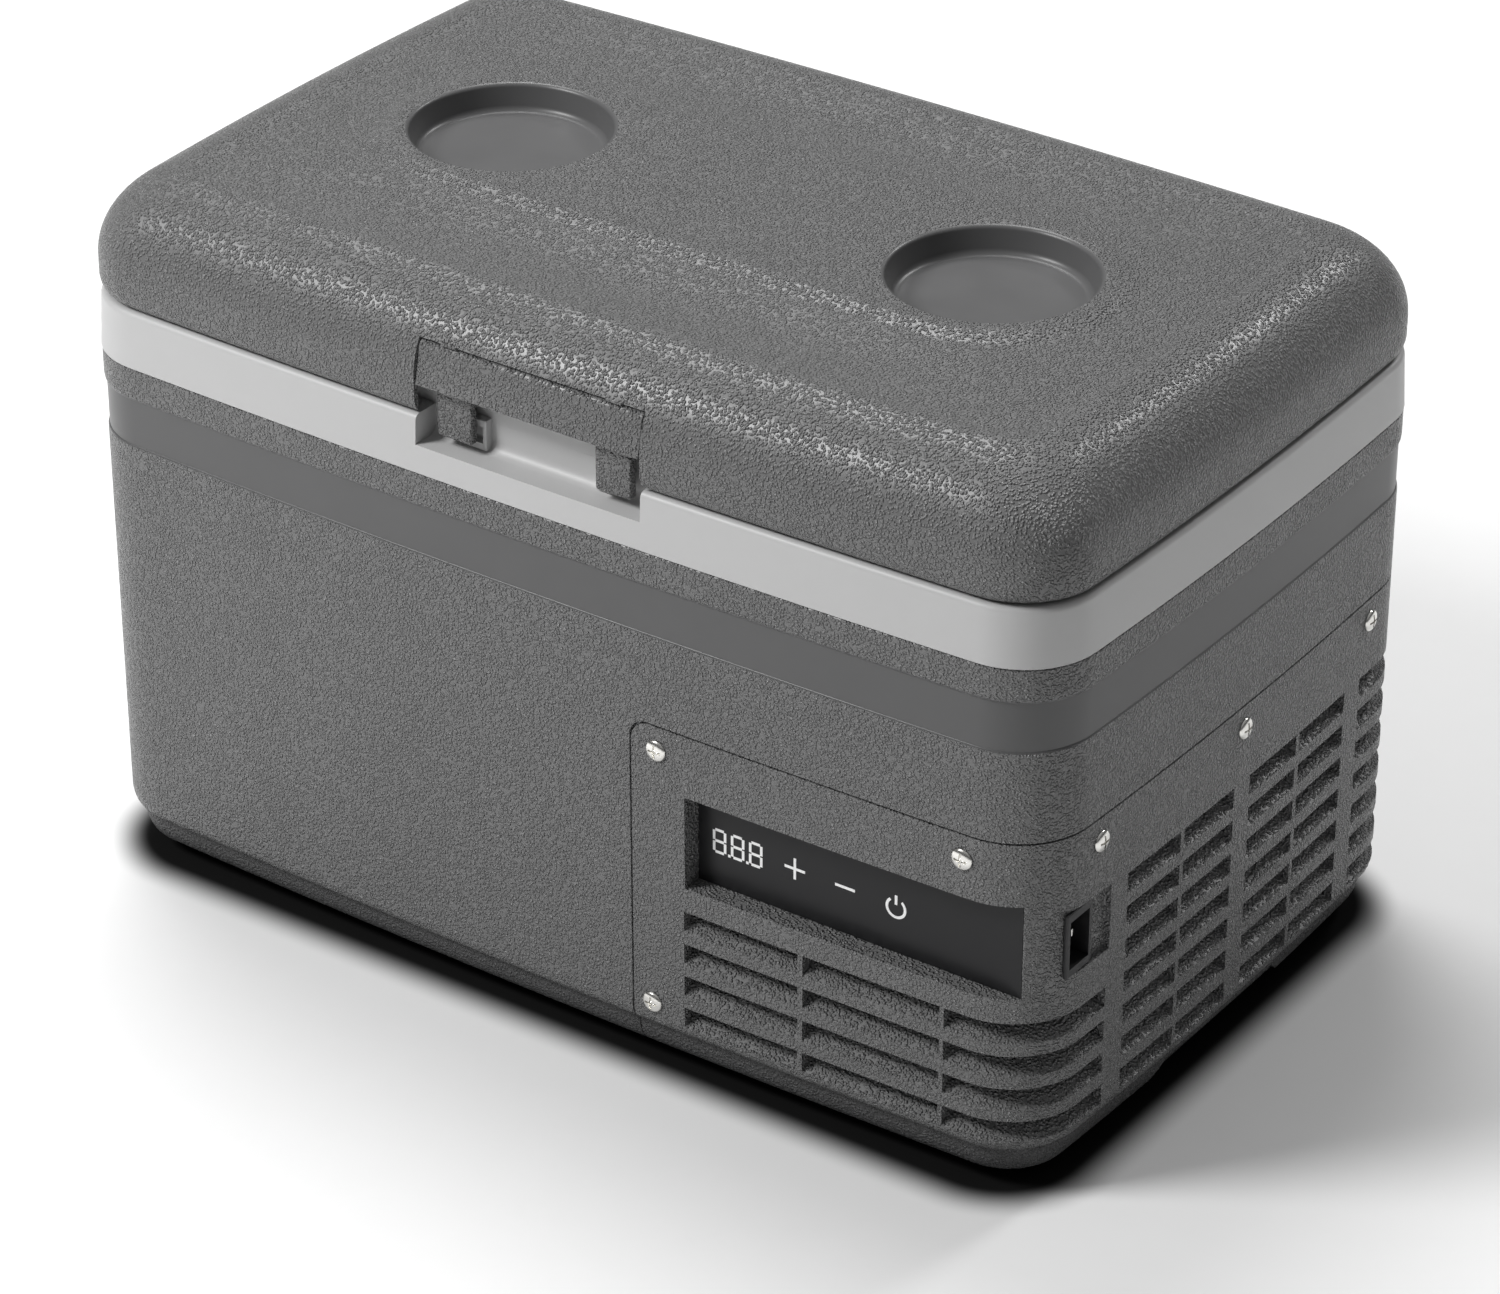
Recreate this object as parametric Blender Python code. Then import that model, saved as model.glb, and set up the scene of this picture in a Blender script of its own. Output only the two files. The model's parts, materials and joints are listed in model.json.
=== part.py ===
"""Portable compressor cooler: an insulated tub, a hinged lid and a louvred compressor bay.

Metres, +Z up. The long side lies along X with the compressor bay at +X, the front
faces -Y, and the origin is on the floor under the middle of the body.
"""

import cmath
import math

import bmesh
import bpy
import numpy as np
from mathutils import Matrix, Vector

# Outline seen from above
LENGTH = 0.570
WIDTH = 0.3505
CORNER_RADIUS = 0.040
CORNER_LEAST = 0.003
FRONT_BOW = 0.0055
END_BOW = 0.005
FRONT_STEPS = 2
CORNER_STEPS = 6
END_STEPS = 2

# Heights of the stacked forms, from the floor up
FOOT_HEIGHT = 0.008
PLINTH_HEIGHT = 0.0165
WALL_HEIGHT = 0.2158
BAND_HEIGHT = 0.0248
COLLAR_HEIGHT = 0.0179
RIM_HEIGHT = 0.0295
LID_HEIGHT = 0.0615
PLINTH_Z = FOOT_HEIGHT
WALL_Z = PLINTH_Z + PLINTH_HEIGHT
BAND_Z = WALL_Z + WALL_HEIGHT
COLLAR_Z = BAND_Z + BAND_HEIGHT
RIM_Z = COLLAR_Z + COLLAR_HEIGHT
LID_Z = RIM_Z + RIM_HEIGHT
TOP_Z = LID_Z + LID_HEIGHT

# How far each form lies inside the outline, and its edge rounding
WALL_INSET = 0.0008
BAND_INSET = 0.0015
COLLAR_INSET = 0.0003
PLINTH_INSET = 0.005
PLINTH_STEP = 0.001
PLINTH_TUCK = 0.013
WALL_ROUND = 0.0085
SHOULDER_ROUND = 0.0015
COLLAR_ROUND = 0.004

# Clearances
FIT = 0.0003
PANEL_GAP = 0.001
PAST = 0.010
FLAT_ANGLE = math.radians(0.05)

# Body shell and the arched hand gap in its plinth
SHELL_WALL = 0.004
ARCH_HALF_TOP = 0.049
ARCH_HALF_FOOT = 0.062
ARCH_HEIGHT = 0.011
ARCH_DEPTH = 0.009
ARCH_WALL = 0.003

# Pale rim frame and its latch pocket
RIM_WALL = 0.003
RIM_TAPER = 0.0014
RIM_ROUND = 0.003
UPSTAND_INSET = 0.017
UPSTAND_WALL = 0.004
UPSTAND_HEIGHT = 0.0145
POCKET_DROP = 0.015
POCKET_FILLET = 0.006
CATCH_WIDTH = 0.012
CATCH_REACH = 0.004
CATCH_DEPTH = 0.0045
CATCH_HEIGHT = 0.0155
CATCH_LIFT = 0.0015
CATCH_WALL = 0.002
CATCH_ARM = 0.0035

# Stepped tub
TUB_INSET = 0.043
TUB_RADIUS = 0.024
TUB_DRAFT = 0.004
TUB_FLOOR_Z = 0.046
TUB_STEP_Z = 0.234
STEP_WALL = 0.040
LINER_WALL = 0.0025
FLANGE_WALL = 0.0025
TUB_CORNER_STEPS = 4
FOAM_RISE = 0.008

# Compressor cover: edges, walls and louvres
BAY_LENGTH = 0.228
COVER_X = LENGTH / 2 - BAY_LENGTH
COVER_TOP = 0.193
COVER_CORNER = 0.010
COVER_MARGIN = 0.025
LOUVRE_WALL = 0.012
LOUVRE_TOP = 0.1505
LOUVRE_PITCH = 0.018
LOUVRE_HEIGHT = 0.011
LOUVRE_RISE = 0.007
LOUVRE_ROWS = 7
FRONT_FIRST_ROW = 3
FRONT_COLUMN_1 = (COVER_X + 0.0304, COVER_X + 0.0944)
FRONT_COLUMN_2 = (COVER_X + 0.0971, COVER_X + 0.1718)
CORNER_FROM_X = COVER_X + 0.1740
CORNER_TO_Y = 0.3252 * WIDTH
SIDE_COLUMN_1 = (0.1455 * WIDTH, 0.0205 * WIDTH)
SIDE_COLUMN_2 = (0.2810 * WIDTH, 0.1541 * WIDTH)

# Control panel, recessed in the cover
PANEL_FROM_SEAM = 0.031
PANEL_LENGTH = 0.1785
PANEL_X = COVER_X + PANEL_FROM_SEAM
PANEL_END_X = PANEL_X + PANEL_LENGTH
PANEL_TOP = 0.1595
PANEL_BOTTOM = 0.1095
PANEL_DEPTH = 0.0115
PANEL_END_DEPTH = 0.0132
LENS_THICKNESS = 0.0025
BOARD_THICKNESS = 0.0016
BOSS_DEPTH = 0.021
BOSS_WALL = 0.0035
BOSS_SEAM = 0.006

# Power inlet, recessed in the cover's right-hand face
INLET_EDGE = 0.02825
INLET_Y = -(WIDTH / 2 - INLET_EDGE)
INLET_Z = 0.1345
INLET_SIZE = 0.035
INLET_DEPTH = 0.0055
SOCKET_WIDTH = 0.0205
SOCKET_HEIGHT = 0.034
SOCKET_FLANGE = 0.002
SOCKET_OPENING = (0.016, 0.0255)
SOCKET_WALL = 0.0015
SOCKET_DEPTH = 0.022
SOCKET_FLOOR = 0.004
PIN_SECTION = (0.002, 0.004)
PIN_LENGTH = 0.0145
PIN_SPREAD_Z = 0.007
PIN_OFFSET_Y = 0.003

# Cover screws
SCREW_RADIUS = 0.0055
SCREW_DOME = 0.0022
SCREW_SHANK = 0.0018
SCREW_LENGTH = 0.0092
SCREW_STEPS = 8
SCREW_TOP_DROP = 0.0135
SCREW_TOP_LEFT = 0.0152
SCREW_LOW_LEFT = 0.0118
SCREW_RIGHT = 0.1818
SCREW_RIGHT_X = COVER_X + SCREW_RIGHT
SCREW_LOW_Z = 0.0388
SCREW_SIDE_EDGE = 0.05365
SCREW_SIDE_Y = WIDTH / 2 - SCREW_SIDE_EDGE

# Bulkhead between tub and compressor bay
BULKHEAD_WALL = 0.003
BULKHEAD_SET = 0.005
BAY_HEADROOM = 0.003
LIP_WALL = 0.0032

# Feet
FOOT_RADIUS = 0.014
FOOT_END = 0.053
FOOT_SIDE = 0.07025
FOOT_X = LENGTH / 2 - FOOT_END
FOOT_Y = WIDTH / 2 - FOOT_SIDE
FOOT_TAPER = 0.002
FOOT_STEPS = 16

# Machinery in the bay
BASE_WALL = 0.003
COMPRESSOR_FROM_SEAM = 0.065
COMPRESSOR_FROM_BACK = 0.10525
COMPRESSOR_X = COVER_X + COMPRESSOR_FROM_SEAM
COMPRESSOR_Y = WIDTH / 2 - COMPRESSOR_FROM_BACK
COMPRESSOR_RADIUS = 0.052
COMPRESSOR_HEIGHT = 0.118
COMPRESSOR_SEAM = 0.003
COMPRESSOR_STEPS = 24
PLATE_X = 0.062
PLATE_Y = 0.046
PLATE_WALL = 0.003
GROMMET_RADIUS = 0.008
GROMMET_HEIGHT = 0.006
GROMMET_EDGE = 0.009
STUB_RADIUS = 0.003
STUB_LENGTH = 0.010
CONDENSER_FROM_SEAM = 0.169
CONDENSER_SIDE_ROOM = 0.08725
CONDENSER_X = COVER_X + CONDENSER_FROM_SEAM
CONDENSER_THICKNESS = 0.030
CONDENSER_WIDTH = WIDTH - 2 * CONDENSER_SIDE_ROOM
CONDENSER_HEIGHT = 0.128
CONDENSER_FINS = 18
FIN_GAP = 0.005
FIN_CORE = 0.010
FAN_STANDOFF = 0.030
FAN_BORDER = 0.028
FAN_X = CONDENSER_X - FAN_STANDOFF
FAN_SIZE = CONDENSER_WIDTH - 2 * FAN_BORDER
FAN_THICKNESS = 0.025
FAN_WALL = 0.004
FAN_HUB = 0.019
FAN_HUB_LENGTH = 0.014
FAN_STRUT = 0.006
FAN_BLADES = 7
FAN_BLADE_WALL = 0.0018
FAN_BLADE_PITCH = math.radians(38)
FAN_TIP_GAP = 0.003
FAN_SHAFT = 0.003
FAN_STEPS = 28
MODULE_FROM_SEAM = 0.015
MODULE_FROM_FRONT = 0.03925
MODULE_LOW = (COVER_X + MODULE_FROM_SEAM, MODULE_FROM_FRONT - WIDTH / 2)
MODULE_SIZE = (0.096, 0.060, 0.036)
MODULE_FINS = 7
MODULE_FIN_DEPTH = 0.010
DRIER_FROM_SEAM = 0.133
DRIER_SIDE_ROOM = 0.024
DRIER_X = COVER_X + DRIER_FROM_SEAM
DRIER_Y = -(CONDENSER_WIDTH / 2 + DRIER_SIDE_ROOM)
DRIER_Z = 0.038
DRIER_RADIUS = 0.009
DRIER_LENGTH = 0.058
DRIER_NECK = 0.008

# Evaporator coil round the deep tub
COIL_RADIUS = 0.003
COIL_TURNS = 4
COIL_Z = 0.080
COIL_PITCH = 0.025
COIL_TAIL = 0.006
COIL_ROOM = 0.010
LINE_RADIUS = 0.0028
LINE_RUN = 0.008
LINE_BEND = 0.014
CAPILLARY_RADIUS = 0.0015
TUBE_SIDES = 1

# Lid: side profile, crown, scoops and cup recesses
LID_WALL = 0.003
LID_INSET = 0.0010
LID_UNDERCUT = 0.006
LID_UNDER_HEIGHT = 0.009
LID_SIDE_HEIGHT = 0.0185
LID_SHOULDER = 0.0425
LID_CORNER_SHRINK = 0.45
LID_SHOULDER_STEPS = 5
LID_RINGS = (0.052, 0.064, 0.077, 0.092, 0.107, 0.118, 0.124)
LID_INNER_RINGS = (0.052, 0.077, 0.107, 0.124)
CROWN_DROP = 0.0030
SCOOP_DEPTH = 0.0035
SCOOP_Y = 0.098
SCOOP_HALF_WIDTH = 0.034
SCOOP_HALF_LENGTH = 0.215
CUP_X = LENGTH / 2 - 0.1455
CUP_RADIUS = 0.04975
CUP_FLOOR_RADIUS = 0.04725
CUP_DEPTH = 0.0135
CUP_RIM_ROUND = 0.0025
CUP_FILLET = 0.004
CUP_STEPS = 28
PLATEAU_MARGIN = 0.0065
PLATEAU_SLOPE = 0.009
LID_PLATE_LIFT = 0.0185
LID_PLATE_WALL = 0.0025
LID_PLATE_GAP = 0.0008
PLUG_INSET = 0.047
PLUG_DROP = 0.011
GASKET_INSET = 0.025
GASKET_WIDTH = 0.010
GASKET_ROUND = 0.001

# Latch in the lid's front, turning about its upper edge
LATCH_HALF = 0.0634
LATCH_GAP = 0.001
LATCH_AXIS_INSET = 0.0088
LATCH_AXIS_LIFT = 0.034
LATCH_BARREL = 0.0039
LATCH_FOOT_LIFT = 0.0165
LATCH_THICKNESS = 0.0065
LATCH_STEPS = 12
LEG_WIDTH = 0.020
LEG_END = 0.008
LEG_INSET = 0.0065
LEG_THICKNESS = 0.005
LEG_CLEAR = 0.0055
LATCH_PIN = 0.0015
LATCH_PIN_LENGTH = 0.012
NOTCH_DEPTH = 0.0165

# Lid hinges at the back
HINGE_X = LENGTH / 2 - 0.135
HINGE_INSET = 0.00825
HINGE_LIFT = 0.009
KNUCKLE_RADIUS = 0.005
KNUCKLE_WIDTH = 0.022
EAR_WIDTH = 0.010
HINGE_GAP = 0.0004
HINGE_PIN = 0.002
KNUCKLE_STEPS = 16
HINGE_NOTCH_ROOM = 0.0025
HINGE_WEB = 0.0135

# Places worked out from the sizes above
FRONT_Y = -(WIDTH / 2 - WALL_INSET)
RIGHT_X = LENGTH / 2 - WALL_INSET
SHELL_INNER = WALL_INSET + SHELL_WALL
BULKHEAD_X = COVER_X - BULKHEAD_SET
TUB_STEP_X = BULKHEAD_X - STEP_WALL
BAY_TOP = COVER_TOP + BAY_HEADROOM
BASE_Z = PLINTH_Z
DECK_Z = BASE_Z + BASE_WALL + FIT
UPSTAND_TOP = LID_Z + UPSTAND_HEIGHT
POCKET_FLOOR = LID_Z - POCKET_DROP
FOAM_TOP = RIM_Z + FOAM_RISE
LID_PLATE_Z = LID_Z + LID_PLATE_LIFT
LATCH_Y = -(WIDTH / 2 - LATCH_AXIS_INSET)
LATCH_Z = LID_Z + LATCH_AXIS_LIFT
HINGE_Y = WIDTH / 2 - HINGE_INSET
HINGE_Z = LID_Z + HINGE_LIFT
PLATEAU_RADIUS = CUP_RADIUS + CUP_RIM_ROUND + PLATEAU_MARGIN
TUB_HALF_X = LENGTH / 2 - TUB_INSET
TUB_HALF_Y = WIDTH / 2 - TUB_INSET
FAN_Z = DECK_Z + FAN_SIZE / 2
CONDENSER_MID_X = CONDENSER_X + CONDENSER_THICKNESS / 2

FINISHES = {
    "grained_dark": ((0.085, 0.085, 0.087), 0.62, 0.0),
    "pale_rim": ((0.50, 0.50, 0.50), 0.42, 0.0),
    "liner_grey": ((0.55, 0.56, 0.57), 0.40, 0.0),
    "foam": ((0.80, 0.76, 0.62), 0.95, 0.0),
    "lens_black": ((0.012, 0.012, 0.013), 0.18, 0.0),
    "board_green": ((0.02, 0.12, 0.05), 0.55, 0.0),
    "socket_black": ((0.008, 0.008, 0.009), 0.45, 0.0),
    "bright_steel": ((0.70, 0.69, 0.66), 0.28, 1.0),
    "rubber": ((0.015, 0.015, 0.015), 0.85, 0.0),
    "black_paint": ((0.02, 0.02, 0.022), 0.50, 0.0),
    "copper": ((0.70, 0.35, 0.20), 0.30, 1.0),
    "aluminium": ((0.66, 0.67, 0.68), 0.38, 1.0),
    "galvanised": ((0.52, 0.53, 0.54), 0.45, 1.0),
    "fan_black": ((0.015, 0.015, 0.017), 0.55, 0.0),
}


def clear_scene():
    for item in list(bpy.data.objects):
        bpy.data.objects.remove(item)


def finish_material(name):
    """One Principled material per finish, made on first use."""
    found = bpy.data.materials.get(name)
    if found:
        return found
    colour, roughness, metallic = FINISHES[name]
    made = bpy.data.materials.new(name)
    made.use_nodes = True
    shader = made.node_tree.nodes["Principled BSDF"]
    shader.inputs["Base Color"].default_value = (*colour, 1.0)
    shader.inputs["Roughness"].default_value = roughness
    shader.inputs["Metallic"].default_value = metallic
    return made


def add_object(name, bm, finish=None):
    """Turn a bmesh into an object with outward faces; a cutter has no finish."""
    bmesh.ops.recalc_face_normals(bm, faces=bm.faces)
    bmesh.ops.triangulate(bm, faces=bm.faces)
    mesh = bpy.data.meshes.new(name)
    bm.to_mesh(mesh)
    bm.free()
    made = bpy.data.objects.new(name, mesh)
    bpy.context.scene.collection.objects.link(made)
    if finish:
        mesh.materials.append(finish_material(finish))
    else:
        made.hide_render = True
        made.display_type = "WIRE"
    return made


def stack(name, loops, finish=None, ring=False):
    """Skin through loops of equal length, capped at both ends or closed into a ring."""
    bm = bmesh.new()
    rows = [[bm.verts.new(point) for point in loop] for loop in loops]
    count = len(rows[0])
    pairs = list(zip(rows, rows[1:]))
    if ring:
        pairs.append((rows[-1], rows[0]))
    else:
        bm.faces.new(rows[0])
        bm.faces.new(rows[-1])
    for lower, upper in pairs:
        for i in range(count):
            j = (i + 1) % count
            bm.faces.new((lower[i], lower[j], upper[j], upper[i]))
    return add_object(name, bm, finish)


def combine(target, other, operation, solver="MANIFOLD"):
    """Boolean of two objects; the second one is used up. The bowed walls need the manifold solver."""
    modifier = target.modifiers.new(operation.lower(), "BOOLEAN")
    modifier.operation = operation
    modifier.solver = solver
    modifier.object = other
    bpy.context.view_layer.update()
    evaluated = target.evaluated_get(bpy.context.evaluated_depsgraph_get())
    mesh = bpy.data.meshes.new_from_object(evaluated)
    target.modifiers.clear()
    target.data = mesh
    bpy.data.objects.remove(other)


def tidy_faces(target):
    """Merge the flat triangles that the Booleans leave."""
    bm = bmesh.new()
    bm.from_mesh(target.data)
    bmesh.ops.dissolve_limit(bm, angle_limit=FLAT_ANGLE, verts=bm.verts, edges=bm.edges)
    bmesh.ops.triangulate(bm, faces=bm.faces)
    bm.to_mesh(target.data)
    bm.free()


def carve(target, *cutters):
    for cutter in cutters:
        combine(target, cutter, "DIFFERENCE")


def weld(target, *others):
    for other in others:
        combine(target, other, "UNION")


def keep(target, region):
    combine(target, region, "INTERSECT")


def box(name, low, high, finish=None):
    bm = bmesh.new()
    bmesh.ops.create_cube(bm, size=1.0)
    size = Vector(high) - Vector(low)
    middle = (Vector(high) + Vector(low)) / 2
    bmesh.ops.scale(bm, vec=size, verts=bm.verts)
    bmesh.ops.translate(bm, vec=middle, verts=bm.verts)
    return add_object(name, bm, finish)


def prism(name, outline, axis, start, stop, finish=None):
    """Extrude a 2-D outline along one axis; the outline holds the other two in X, Y, Z order."""
    def place(a, b, c):
        return {"X": (c, a, b), "Y": (a, c, b), "Z": (a, b, c)}[axis]
    loops = [[place(a, b, c) for a, b in outline] for c in (start, stop)]
    return stack(name, loops, finish)


def lathe(name, profile, steps, place, finish=None):
    """Turn (radius, height) points about local Z; end radii of zero close on the axis."""
    bm = bmesh.new()
    rows = []
    for radius, height in profile:
        if radius == 0:
            rows.append([bm.verts.new((0, 0, height))])
            continue
        turns = (2 * math.pi * i / steps for i in range(steps))
        rows.append([bm.verts.new((radius * math.cos(t), radius * math.sin(t), height)) for t in turns])
    for lower, upper in zip(rows, rows[1:]):
        for i in range(steps):
            j = (i + 1) % steps
            corners = [lower[i % len(lower)], lower[j % len(lower)], upper[j % len(upper)], upper[i % len(upper)]]
            bm.faces.new(list(dict.fromkeys(corners)))
    for row in (rows[0], rows[-1]):
        if len(row) > 1:
            bm.faces.new(row)
    bmesh.ops.transform(bm, matrix=place, verts=bm.verts)
    made = add_object(name, bm, finish)
    made.data.shade_smooth()
    made.data.set_sharp_from_angle(angle=math.radians(40))
    return made


def upright(x, y, z):
    return Matrix.Translation((x, y, z))


def along(origin, direction):
    """Placement that turns local Z to a direction."""
    turn = Vector(direction).to_track_quat("Z", "Y").to_matrix().to_4x4()
    return Matrix.Translation(origin) @ turn


def rod(name, start, stop, radius, steps=KNUCKLE_STEPS, finish=None):
    length = (Vector(stop) - Vector(start)).length
    place = along(start, Vector(stop) - Vector(start))
    return lathe(name, [(radius, 0), (radius, length)], steps, place, finish)


def smooth_route(points, per_span=4):
    """Catmull-Rom curve through the route's own points, with straight first and last runs."""
    knots = [Vector(p) for p in points]
    route = [knots[0]]
    for a, b, c, d in zip(knots, knots[1:], knots[2:], knots[3:]):
        for i in range(per_span):
            t = i / per_span
            bend = (2 * a - 5 * b + 4 * c - d) * t * t + (3 * b - a - 3 * c + d) * t ** 3
            route.append(0.5 * (2 * b + (c - a) * t + bend))
    return [*route, knots[-2], knots[-1]]


def tube(name, points, radius, finish):
    curve = bpy.data.curves.new(name, "CURVE")
    curve.dimensions = "3D"
    curve.bevel_depth = radius
    curve.bevel_resolution = TUBE_SIDES
    curve.use_fill_caps = True
    spline = curve.splines.new("POLY")
    spline.points.add(len(points) - 1)
    for knot, point in zip(spline.points, points):
        knot.co = (*point, 1.0)
    curve.materials.append(finish_material(finish))
    made = bpy.data.objects.new(name, curve)
    bpy.context.scene.collection.objects.link(made)
    return made


def crossing(centre_a, radius_a, centre_b, radius_b):
    """The front-right crossing of two circles given as complex centres."""
    apart = centre_b - centre_a
    reach = (abs(apart) ** 2 + radius_a ** 2 - radius_b ** 2) / (2 * abs(apart))
    rise = math.sqrt(radius_a ** 2 - reach ** 2)
    unit = apart / abs(apart)
    options = [centre_a + unit * complex(reach, side * rise) for side in (-1, 1)]
    return max(options, key=lambda p: p.real - p.imag)


def arc(centre, radius, start, stop, steps):
    """Points on an arc from the start angle up to, but not at, the stop angle."""
    return [centre + cmath.rect(radius, start + (stop - start) * i / steps) for i in range(steps)]


def quarter_plan(inset, shrink=1.0):
    """Front-right quarter of the outline, mid front to mid end: bowed sides and a round corner."""
    half_x = LENGTH / 2 - inset
    half_y = WIDTH / 2 - inset
    radius = max(CORNER_RADIUS - shrink * inset, CORNER_LEAST)
    front_radius = (half_x ** 2 + FRONT_BOW ** 2) / (2 * FRONT_BOW)
    end_radius = (half_y ** 2 + END_BOW ** 2) / (2 * END_BOW)
    front = complex(0, front_radius - half_y)
    end = complex(half_x - end_radius, 0)
    corner = crossing(front, front_radius - radius, end, end_radius - radius)
    leave_front = cmath.phase(corner - front)
    meet_end = cmath.phase(corner - end)
    return [
        *arc(front, front_radius, -math.pi / 2, leave_front, FRONT_STEPS),
        *arc(corner, radius, leave_front, meet_end, CORNER_STEPS),
        *arc(end, end_radius, meet_end, 0, END_STEPS),
        complex(half_x, 0),
    ]


def plan(inset, shrink=1.0):
    """Whole outline, anticlockwise from mid front."""
    quarter = quarter_plan(inset, shrink)
    right = quarter + [p.conjugate() for p in reversed(quarter[:-1])]
    return right + [-p.conjugate() for p in reversed(right[1:-1])]


def level(inset, z, shrink=1.0):
    return [(p.real, p.imag, z) for p in plan(inset, shrink)]


def loft(name, levels, finish=None, ring=False):
    return stack(name, [level(inset, z) for inset, z in levels], finish, ring)


def outline_at(x=None, y=None):
    """Point on the wall's front-right outline at a given x or y."""
    quarter = quarter_plan(WALL_INSET)
    xs = [p.real for p in quarter]
    ys = [p.imag for p in quarter]
    if y is None:
        return complex(x, np.interp(x, xs, ys))
    return complex(np.interp(y, ys, xs), y)


def body_levels():
    """Outer profile of plinth, wall, band and collar as (inset, z)."""
    levels = []
    for i in range(4):
        turn = math.pi / 2 * (1 - i / 3)
        tuck = (PLINTH_TUCK - PLINTH_INSET - PLINTH_STEP) * (1 - math.cos(turn))
        levels.append((PLINTH_INSET + PLINTH_STEP + tuck, WALL_Z - PLINTH_HEIGHT * math.sin(turn)))
    for i in range(4):
        turn = math.pi / 2 * i / 3
        tuck = (PLINTH_INSET - WALL_INSET) * (1 - math.sin(turn))
        levels.append((WALL_INSET + tuck, WALL_Z + FIT + WALL_ROUND * (1 - math.cos(turn))))
    return levels + [
        (WALL_INSET, BAND_Z - SHOULDER_ROUND),
        (BAND_INSET, BAND_Z),
        (BAND_INSET, COLLAR_Z),
        ((BAND_INSET + COLLAR_INSET) / 2, COLLAR_Z + COLLAR_ROUND / 4),
        (COLLAR_INSET, COLLAR_Z + COLLAR_ROUND),
        (COLLAR_INSET, RIM_Z - FIT),
    ]


def inner_levels(wall, floor_z, top_z):
    """Inside of the body at a wall thickness, between two heights."""
    return [
        (PLINTH_TUCK + wall, floor_z),
        (PLINTH_TUCK + wall, PLINTH_Z + SHELL_WALL + FIT),
        (PLINTH_INSET + wall, WALL_Z + SHELL_WALL),
        (WALL_INSET + wall, WALL_Z + WALL_ROUND + SHELL_WALL),
        (WALL_INSET + wall, top_z),
    ]


def cover_zone(name, gap):
    """Everything behind the cover's edge line: a prism across the body with one round corner."""
    left = COVER_X + gap
    top = COVER_TOP - gap
    bend = complex(left + COVER_CORNER, top - COVER_CORNER)
    turn = [bend + cmath.rect(COVER_CORNER, math.pi - math.pi / 2 * i / 5) for i in range(6)]
    outline = [(LENGTH, -PAST), (left, -PAST), *[(p.real, p.imag) for p in turn], (LENGTH, top)]
    return prism(name, outline, "Y", -WIDTH, WIDTH)


def arch_cutter(side):
    """Flared gap through the plinth at one end of the body."""
    outline = [
        (-ARCH_HALF_FOOT, PLINTH_Z - PAST),
        (ARCH_HALF_FOOT, PLINTH_Z - PAST),
        (ARCH_HALF_FOOT, PLINTH_Z),
        (ARCH_HALF_TOP, PLINTH_Z + ARCH_HEIGHT),
        (-ARCH_HALF_TOP, PLINTH_Z + ARCH_HEIGHT),
        (-ARCH_HALF_FOOT, PLINTH_Z),
    ]
    inner = LENGTH / 2 - PLINTH_INSET - ARCH_DEPTH
    return prism("arch_cutter", outline, "X", side * inner, side * LENGTH)


def make_outer_shell():
    shell = loft("outer_shell", body_levels(), "grained_dark")
    carve(shell, loft("shell_cavity", inner_levels(SHELL_WALL, PLINTH_Z + SHELL_WALL, RIM_Z + PAST)))
    block = loft("arch_block", [(PLINTH_TUCK - FIT, PLINTH_Z + FIT), (PLINTH_TUCK, PLINTH_Z + ARCH_HEIGHT + ARCH_WALL)])
    reach = LENGTH / 2 - PLINTH_INSET - ARCH_DEPTH - ARCH_WALL
    half = ARCH_HALF_FOOT + ARCH_WALL
    keep(block, box("arch_room", (-LENGTH, -half, 0), (-reach, half, WALL_Z + PAST)))
    weld(shell, block)
    carve(shell, arch_cutter(-1), cover_zone("cover_opening", 0))
    return shell


def rim_profile():
    """Section of the rim frame: outer wall, land and upstand, as (inset, z)."""
    round_top = [
        (RIM_TAPER + RIM_ROUND * (1 - math.sin(t)), LID_Z - RIM_ROUND * (1 - math.cos(t)))
        for t in (math.pi / 2 * i / 3 for i in range(3, -1, -1))
    ]
    inner = UPSTAND_INSET + UPSTAND_WALL
    under = LID_Z - RIM_WALL
    return [
        (0, RIM_Z),
        *round_top,
        (UPSTAND_INSET, LID_Z),
        (UPSTAND_INSET, UPSTAND_TOP - RIM_TAPER),
        (UPSTAND_INSET + RIM_TAPER, UPSTAND_TOP),
        (inner, UPSTAND_TOP),
        (inner, under),
        (RIM_WALL + RIM_TAPER, under),
        (RIM_WALL, RIM_Z),
    ]


def pocket_cutter():
    """Room for the latch legs, with a round sweep from the back wall to the floor."""
    back = -(WIDTH / 2 - UPSTAND_INSET)
    bend = complex(back - POCKET_FILLET, POCKET_FLOOR + POCKET_FILLET)
    sweep = [bend + cmath.rect(POCKET_FILLET, -math.pi / 2 * i / 4) for i in range(5)]
    outline = [
        (-WIDTH, POCKET_FLOOR),
        *[(p.real, p.imag) for p in reversed(sweep)],
        (back, UPSTAND_TOP + PAST),
        (-WIDTH, UPSTAND_TOP + PAST),
    ]
    half = LATCH_HALF + LATCH_GAP
    return prism("pocket_cutter", outline, "X", -half, half)


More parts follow.
